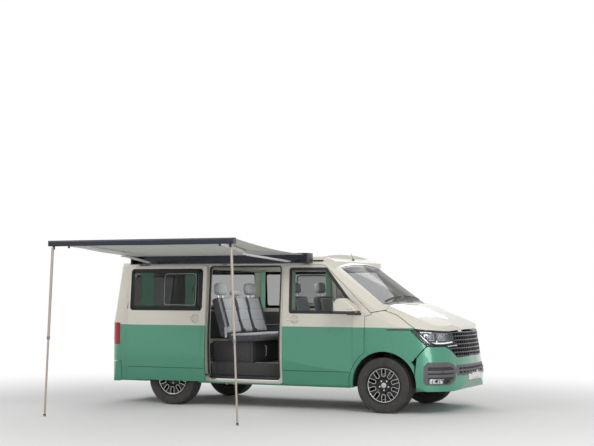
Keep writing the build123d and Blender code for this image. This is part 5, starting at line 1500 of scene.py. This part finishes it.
def make_arms():
    """Caps on every arm joint and a spring line along each upper arm."""
    for end, sign in (("front", 1), ("rear", -1)):
        elbow, wrist = (AWNING_X + sign * ELBOW_X, ELBOW_Y), (AWNING_X + sign * PIVOT_X, WRIST_Y)
        joints = (("elbow", elbow, f"{end}_upper_arm_link", 0.0245, 0.0285),
                  ("wrist", wrist, f"{end}_forearm_link", 0.017, 0.0190))
        for name, place, body, radius, half in joints:
            for side, proud in ((-1, 0.0012), (1, 0.003)):
                shape = ((half - 0.004, 0.0), (half - 0.004, radius), (half, radius),
                         (half + proud, radius * 0.8), (half + proud, 0.006), (half + proud / 3, 0.0))
                lathe(f"{end}_{name}_cap_{side + 1}", [(side * out, radial) for out, radial in shape],
                      arm_place(*place), ARM_UP, AHEAD, "satin_dark", body, steps=28)
        start, stop = arm_place(AWNING_X + sign * PIVOT_X, SHOULDER_Y), arm_place(*elbow)
        along = (stop - start).normalized()
        span = (stop - start).length
        out = along.cross(ARM_UP)
        route = [start + along * (0.075 + (span - 0.15) * k / 8) + out * (sign * 0.0192) for k in range(9)]
        strap(f"{end}_upper_arm_line", route, 0.005, "satin_dark", f"{end}_upper_arm_link", across=ARM_UP,
              thick=0.0008)


LEG_TOPS = {"front": (0.485, -2.961), "rear": (-1.915, -3.009)}
LEG_FEET = {"front": 0.573, "rear": -2.003}
LEG_TOP_Z, CLAMP_Z = 2.018, 0.922


def make_legs():
    """A clamp at each telescoping joint and a rubber foot."""
    for end, (top_x, y) in LEG_TOPS.items():
        top, foot = at(top_x, y, LEG_TOP_Z), at(LEG_FEET[end], y, 0.0)
        down = (foot - top).normalized()
        clamp = [(-0.040, 0.0145), (-0.040, 0.0175), (-0.034, 0.019), (-0.004, 0.019), (0.0, 0.0175),
                 (0.0, 0.0125)]
        lathe(f"{end}_leg_clamp", clamp, top + down * (LEG_TOP_Z - CLAMP_Z), down, ACROSS, "satin_dark",
              f"{end}_leg_upper_tube", steps=28, closed=True)
        boot = [(-0.030, 0.0125), (-0.030, 0.0145), (-0.010, 0.0155), (-0.0025, 0.0155), (-0.0005, 0.0125),
                (-0.0005, 0.0)]
        lathe(f"{end}_leg_boot", boot, foot, down, ACROSS, "rubber", f"{end}_leg_lower_tube", steps=28)

def make_case():
    """The case's end caps, its light bracket at the rear, lines along the case, and the bar's end caps."""
    for k, (x, sign) in enumerate(((-2.015, -1), (0.585, 1))):
        low = Vector((x - 0.004 if sign < 0 else x - 0.020, at(0, -1.0755, 0).y, 1.8605))
        block(f"case_cap_{k}", low, low + Vector((0.024, 0.172, 0.1325)), "case", bevel=0.006)
    block("case_rear_bracket", at(-2.012, -0.905, 1.862), at(-1.950, -0.860, 1.900), "arm", bevel=0.006)
    for k, z in enumerate((1.866, 1.984)):
        strap(f"case_line_{k}", [at(-1.990 + 0.25 * i, -1.0757, z) for i in range(11)], 0.003, "satin_dark",
              across=UP, thick=0.0006)
    low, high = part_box("awning_bar")
    for k, x in enumerate((low[0], high[0])):
        cap_low = Vector((x - 0.002 if k == 0 else x - 0.010, low[1] - 0.0005, 2.0435))
        block(f"bar_cap_{k}", cap_low, cap_low + Vector((0.012, 0.064, 0.066)), "case", "bar", bevel=0.004)


BELLOWS = (-2.050, 0.550, 0.700)
BELLOWS_LOW, BELLOWS_HIGH = 1.9085, 1.9295
ROOF_HINGE_X = -2.195
ROOF_OPEN = math.radians(21)
PLEATS = 8
# Farther than END_FROM from the middle is an end wall; within SIDE_WITHIN of half is a side wall
END_FROM, SIDE_WITHIN = 1.27, 0.03


def pleat_depth(x):
    """The fold needed at x to reach the raised roof: deeper towards the front."""
    return 0.004 + (x - ROOF_HINGE_X) * math.sin(ROOF_OPEN) / (2 * PLEATS)


def make_bellows():
    """The raising roof's fabric wall, folded flat in pleats that deepen towards the front."""
    rear, front, half = BELLOWS
    corners = [(rear, -half), (front, -half), (front, half), (rear, half)]
    outline = rounded(corners, 0.06, 5, edge_counts(corners, 0.06))
    rows = 2 * PLEATS
    middle = (rear + front) / 2
    verts = []
    for row in range(rows + 1):
        z = BELLOWS_LOW + (BELLOWS_HIGH - BELLOWS_LOW) * row / rows
        for x, y in outline:
            depth = pleat_depth(x) if row % 2 else 0.0
            at_end = abs(x - middle) >= END_FROM
            at_side = not abs(x - middle) > END_FROM or abs(y) > half - SIDE_WITHIN
            inward_x = math.copysign(depth, middle - x) if at_end else 0.0
            inward_y = -math.copysign(depth, y) if at_side else 0.0
            verts.append(at(x + inward_x, y + inward_y, z))
    bellows = piece("bellows", verts, grid_faces(rows + 1, len(outline), False, True), "bellows", None,
                    smooth=False)
    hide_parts("roof_bellows")
    tuple(at(-0.75, 0, BELLOWS_LOW))
    tuple(at(-0.75, 0, BELLOWS_HIGH))
    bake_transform(bellows)
    tallest = pleat_depth(front) * 2 * PLEATS


make_canopy()
make_arms()
make_legs()
make_case()
make_bellows()
# Curtains: upper rear corner, gathered width, drop, flat width, side and material
# The quarter curtains take the brighter painted glow; the others take the darker copy with less painted glow
CURTAINS = {
    "quarter_rear": ((-2.010, -0.800, 1.800), 0.190, 0.530, 0.60, 1, "curtain"),
    "quarter_front": ((-1.330, -0.800, 1.800), 0.200, 0.530, 0.60, 1, "curtain"),
    "cab_edge": ((0.205, -0.795, 1.790), 0.090, 0.540, 0.30, 1, "curtain_dim_glow"),
    "left_rear": ((-0.975, 0.800, 1.800), 0.060, 0.560, 0.25, -1, "curtain_dim_glow"),
    "left_front": ((0.040, 0.800, 1.800), 0.070, 0.560, 0.25, -1, "curtain_dim_glow"),
}
for name, (top, width, drop, flat_width, side, material) in CURTAINS.items():
    gathered(f"curtain_{name}", at(*top), width, drop, flat_width, "van", side, material)


# Roof, rear and lower body details
def make_roof_details():
    """Rail strips, the line between the raising roof and its front cap, and a short aerial."""
    for side in (-1, 1):
        route = [(-2.150 + 0.10 * k, side * 0.838) for k in range(28)]
        ribbon(f"roof_rail_{side + 1}", route, 0.016, 0.006, on_roof, "black", lift=0.0)
    line = [on_roof(0.700, -0.780 + 1.560 * k / 32, 0.0) + Vector((-0.0125, 0, -0.002)) for k in range(33)]
    tube("roof_cap_line", line, 0.0035, "rubber", sides=8)
    foot = on_roof(0.775, 0.0, 0.0)
    lathe("aerial_foot", [(-0.004, 0.0), (-0.004, 0.020), (0.006, 0.019), (0.014, 0.010), (0.018, 0.0)],
          foot,
          UP, AHEAD, "rubber", steps=24)
    tube("aerial_mast", [foot + Vector((0, 0, 0.010)), foot + Vector((-0.030, 0, 0.085))], 0.0028, "rubber",
         sides=8)


GATE_INSIDE = tree_of("tailgate")


def inside_gate(y, z, lift):
    hit, _, _, _ = GATE_INSIDE.ray_cast(at(-1.9, y, z), Vector((-1, 0, 0)))
    return hit + Vector((lift, 0, 0))


# Windows in each tail lamp: foot, top, thickness, material and corner radius
TAIL_WINDOWS = (("bar", 0.905, 0.925, 0.002, "lamp_white", 0.004),
                ("amber", 0.845, 0.885, 0.0015, "amber", 0.006))


def make_rear():
    """The tailgate's handle, plate, wiper, high brake lamp and lamps' inner windows."""
    raised("rear_plate_base", box_outline(0.0, 0.860, 0.545, 0.140), on_tail, 0.0015, "black", "rear_door")
    raised("rear_plate", box_outline(0.0, 0.860, 0.520, 0.114), on_tail, 0.0014, "plate", "rear_door",
           lift=0.0016)
    raised("tailgate_handle", box_outline(0.0, 0.975, 0.420, 0.046), on_tail, 0.003, "black", "rear_door",
           radius=0.02)
    raised("high_brake_lamp", box_outline(0.0, 1.768, 0.360, 0.020), on_tail, 0.006, "red", "rear_door",
           radius=0.008)
    band("tailgate_glass_edge", [(-0.685, 1.190), (-0.655, 1.745), (0.655, 1.745), (0.685, 1.190)], 0.003,
         0.040,
         (0.05, 0.04), on_tail, 0.0012, "black", "rear_door")
    hub = on_tail(0.0, 1.215, 0.006)
    tip = on_tail(-0.520, 1.300, 0.010)
    tube("rear_wiper_arm", [hub, hub.lerp(tip, 0.5) + Vector((-0.010, 0, 0.004)), tip], 0.007, "rubber",
         "rear_door")
    blade = [on_tail(-0.060 - 0.060 * k, 1.2250 + 0.0098 * k, 0.006) for k in range(9)]
    tube("rear_wiper_blade", blade, 0.005, "rubber", "rear_door")
    raised("tailgate_trim", [(-0.600, 0.640), (-0.600, 1.120), (0.600, 1.120), (0.600, 0.640)], inside_gate,
           0.006,
           "trim", "rear_door", radius=0.04, lift=0.001)
    for side, name in ((-1, "right"), (1, "left")):
        low, high = sorted((side * 0.800, side * 0.895))
        for part, foot, top, thick, material, radius in TAIL_WINDOWS:
            raised(f"{name}_tail_lamp_{part}", [(low, foot), (low, top), (high, top), (high, foot)], on_tail,
                   thick,
                   material, radius=radius)
        raised(f"{name}_rear_reflector", box_outline(side * 0.760, 0.420, 0.150, 0.026), on_tail, 0.003,
               "red",
               radius=0.008)


CREASE_Z = 0.497


# A fine dark strip along the low crease: painted shade for the shadow in its shallow groove
def crease(name, start, stop, project, body="van"):
    spans = max(2, math.ceil((stop - start) / 0.06))
    route = [(start + (stop - start) * k / spans, CREASE_Z) for k in range(spans + 1)]
    ribbon(name, route, 0.0065, 0.0005, project, "rubber", body)


# Painted shade along the low crease on the doors and the side walls
def make_crease_shades():
    crease("sliding_crease_shade", -2.070, -0.922, on_sliding)
    crease("right_door_crease_shade", 0.186, 1.100, on_right, "right_door")
    crease("left_door_crease_shade", 0.186, 1.100, on_left, "left_door")
    crease("left_crease_shade_rear", -2.220, -1.860, on_left)
    crease("left_crease_shade_middle", -1.050, 0.158, on_left)


make_roof_details()
make_rear()
make_crease_shades()
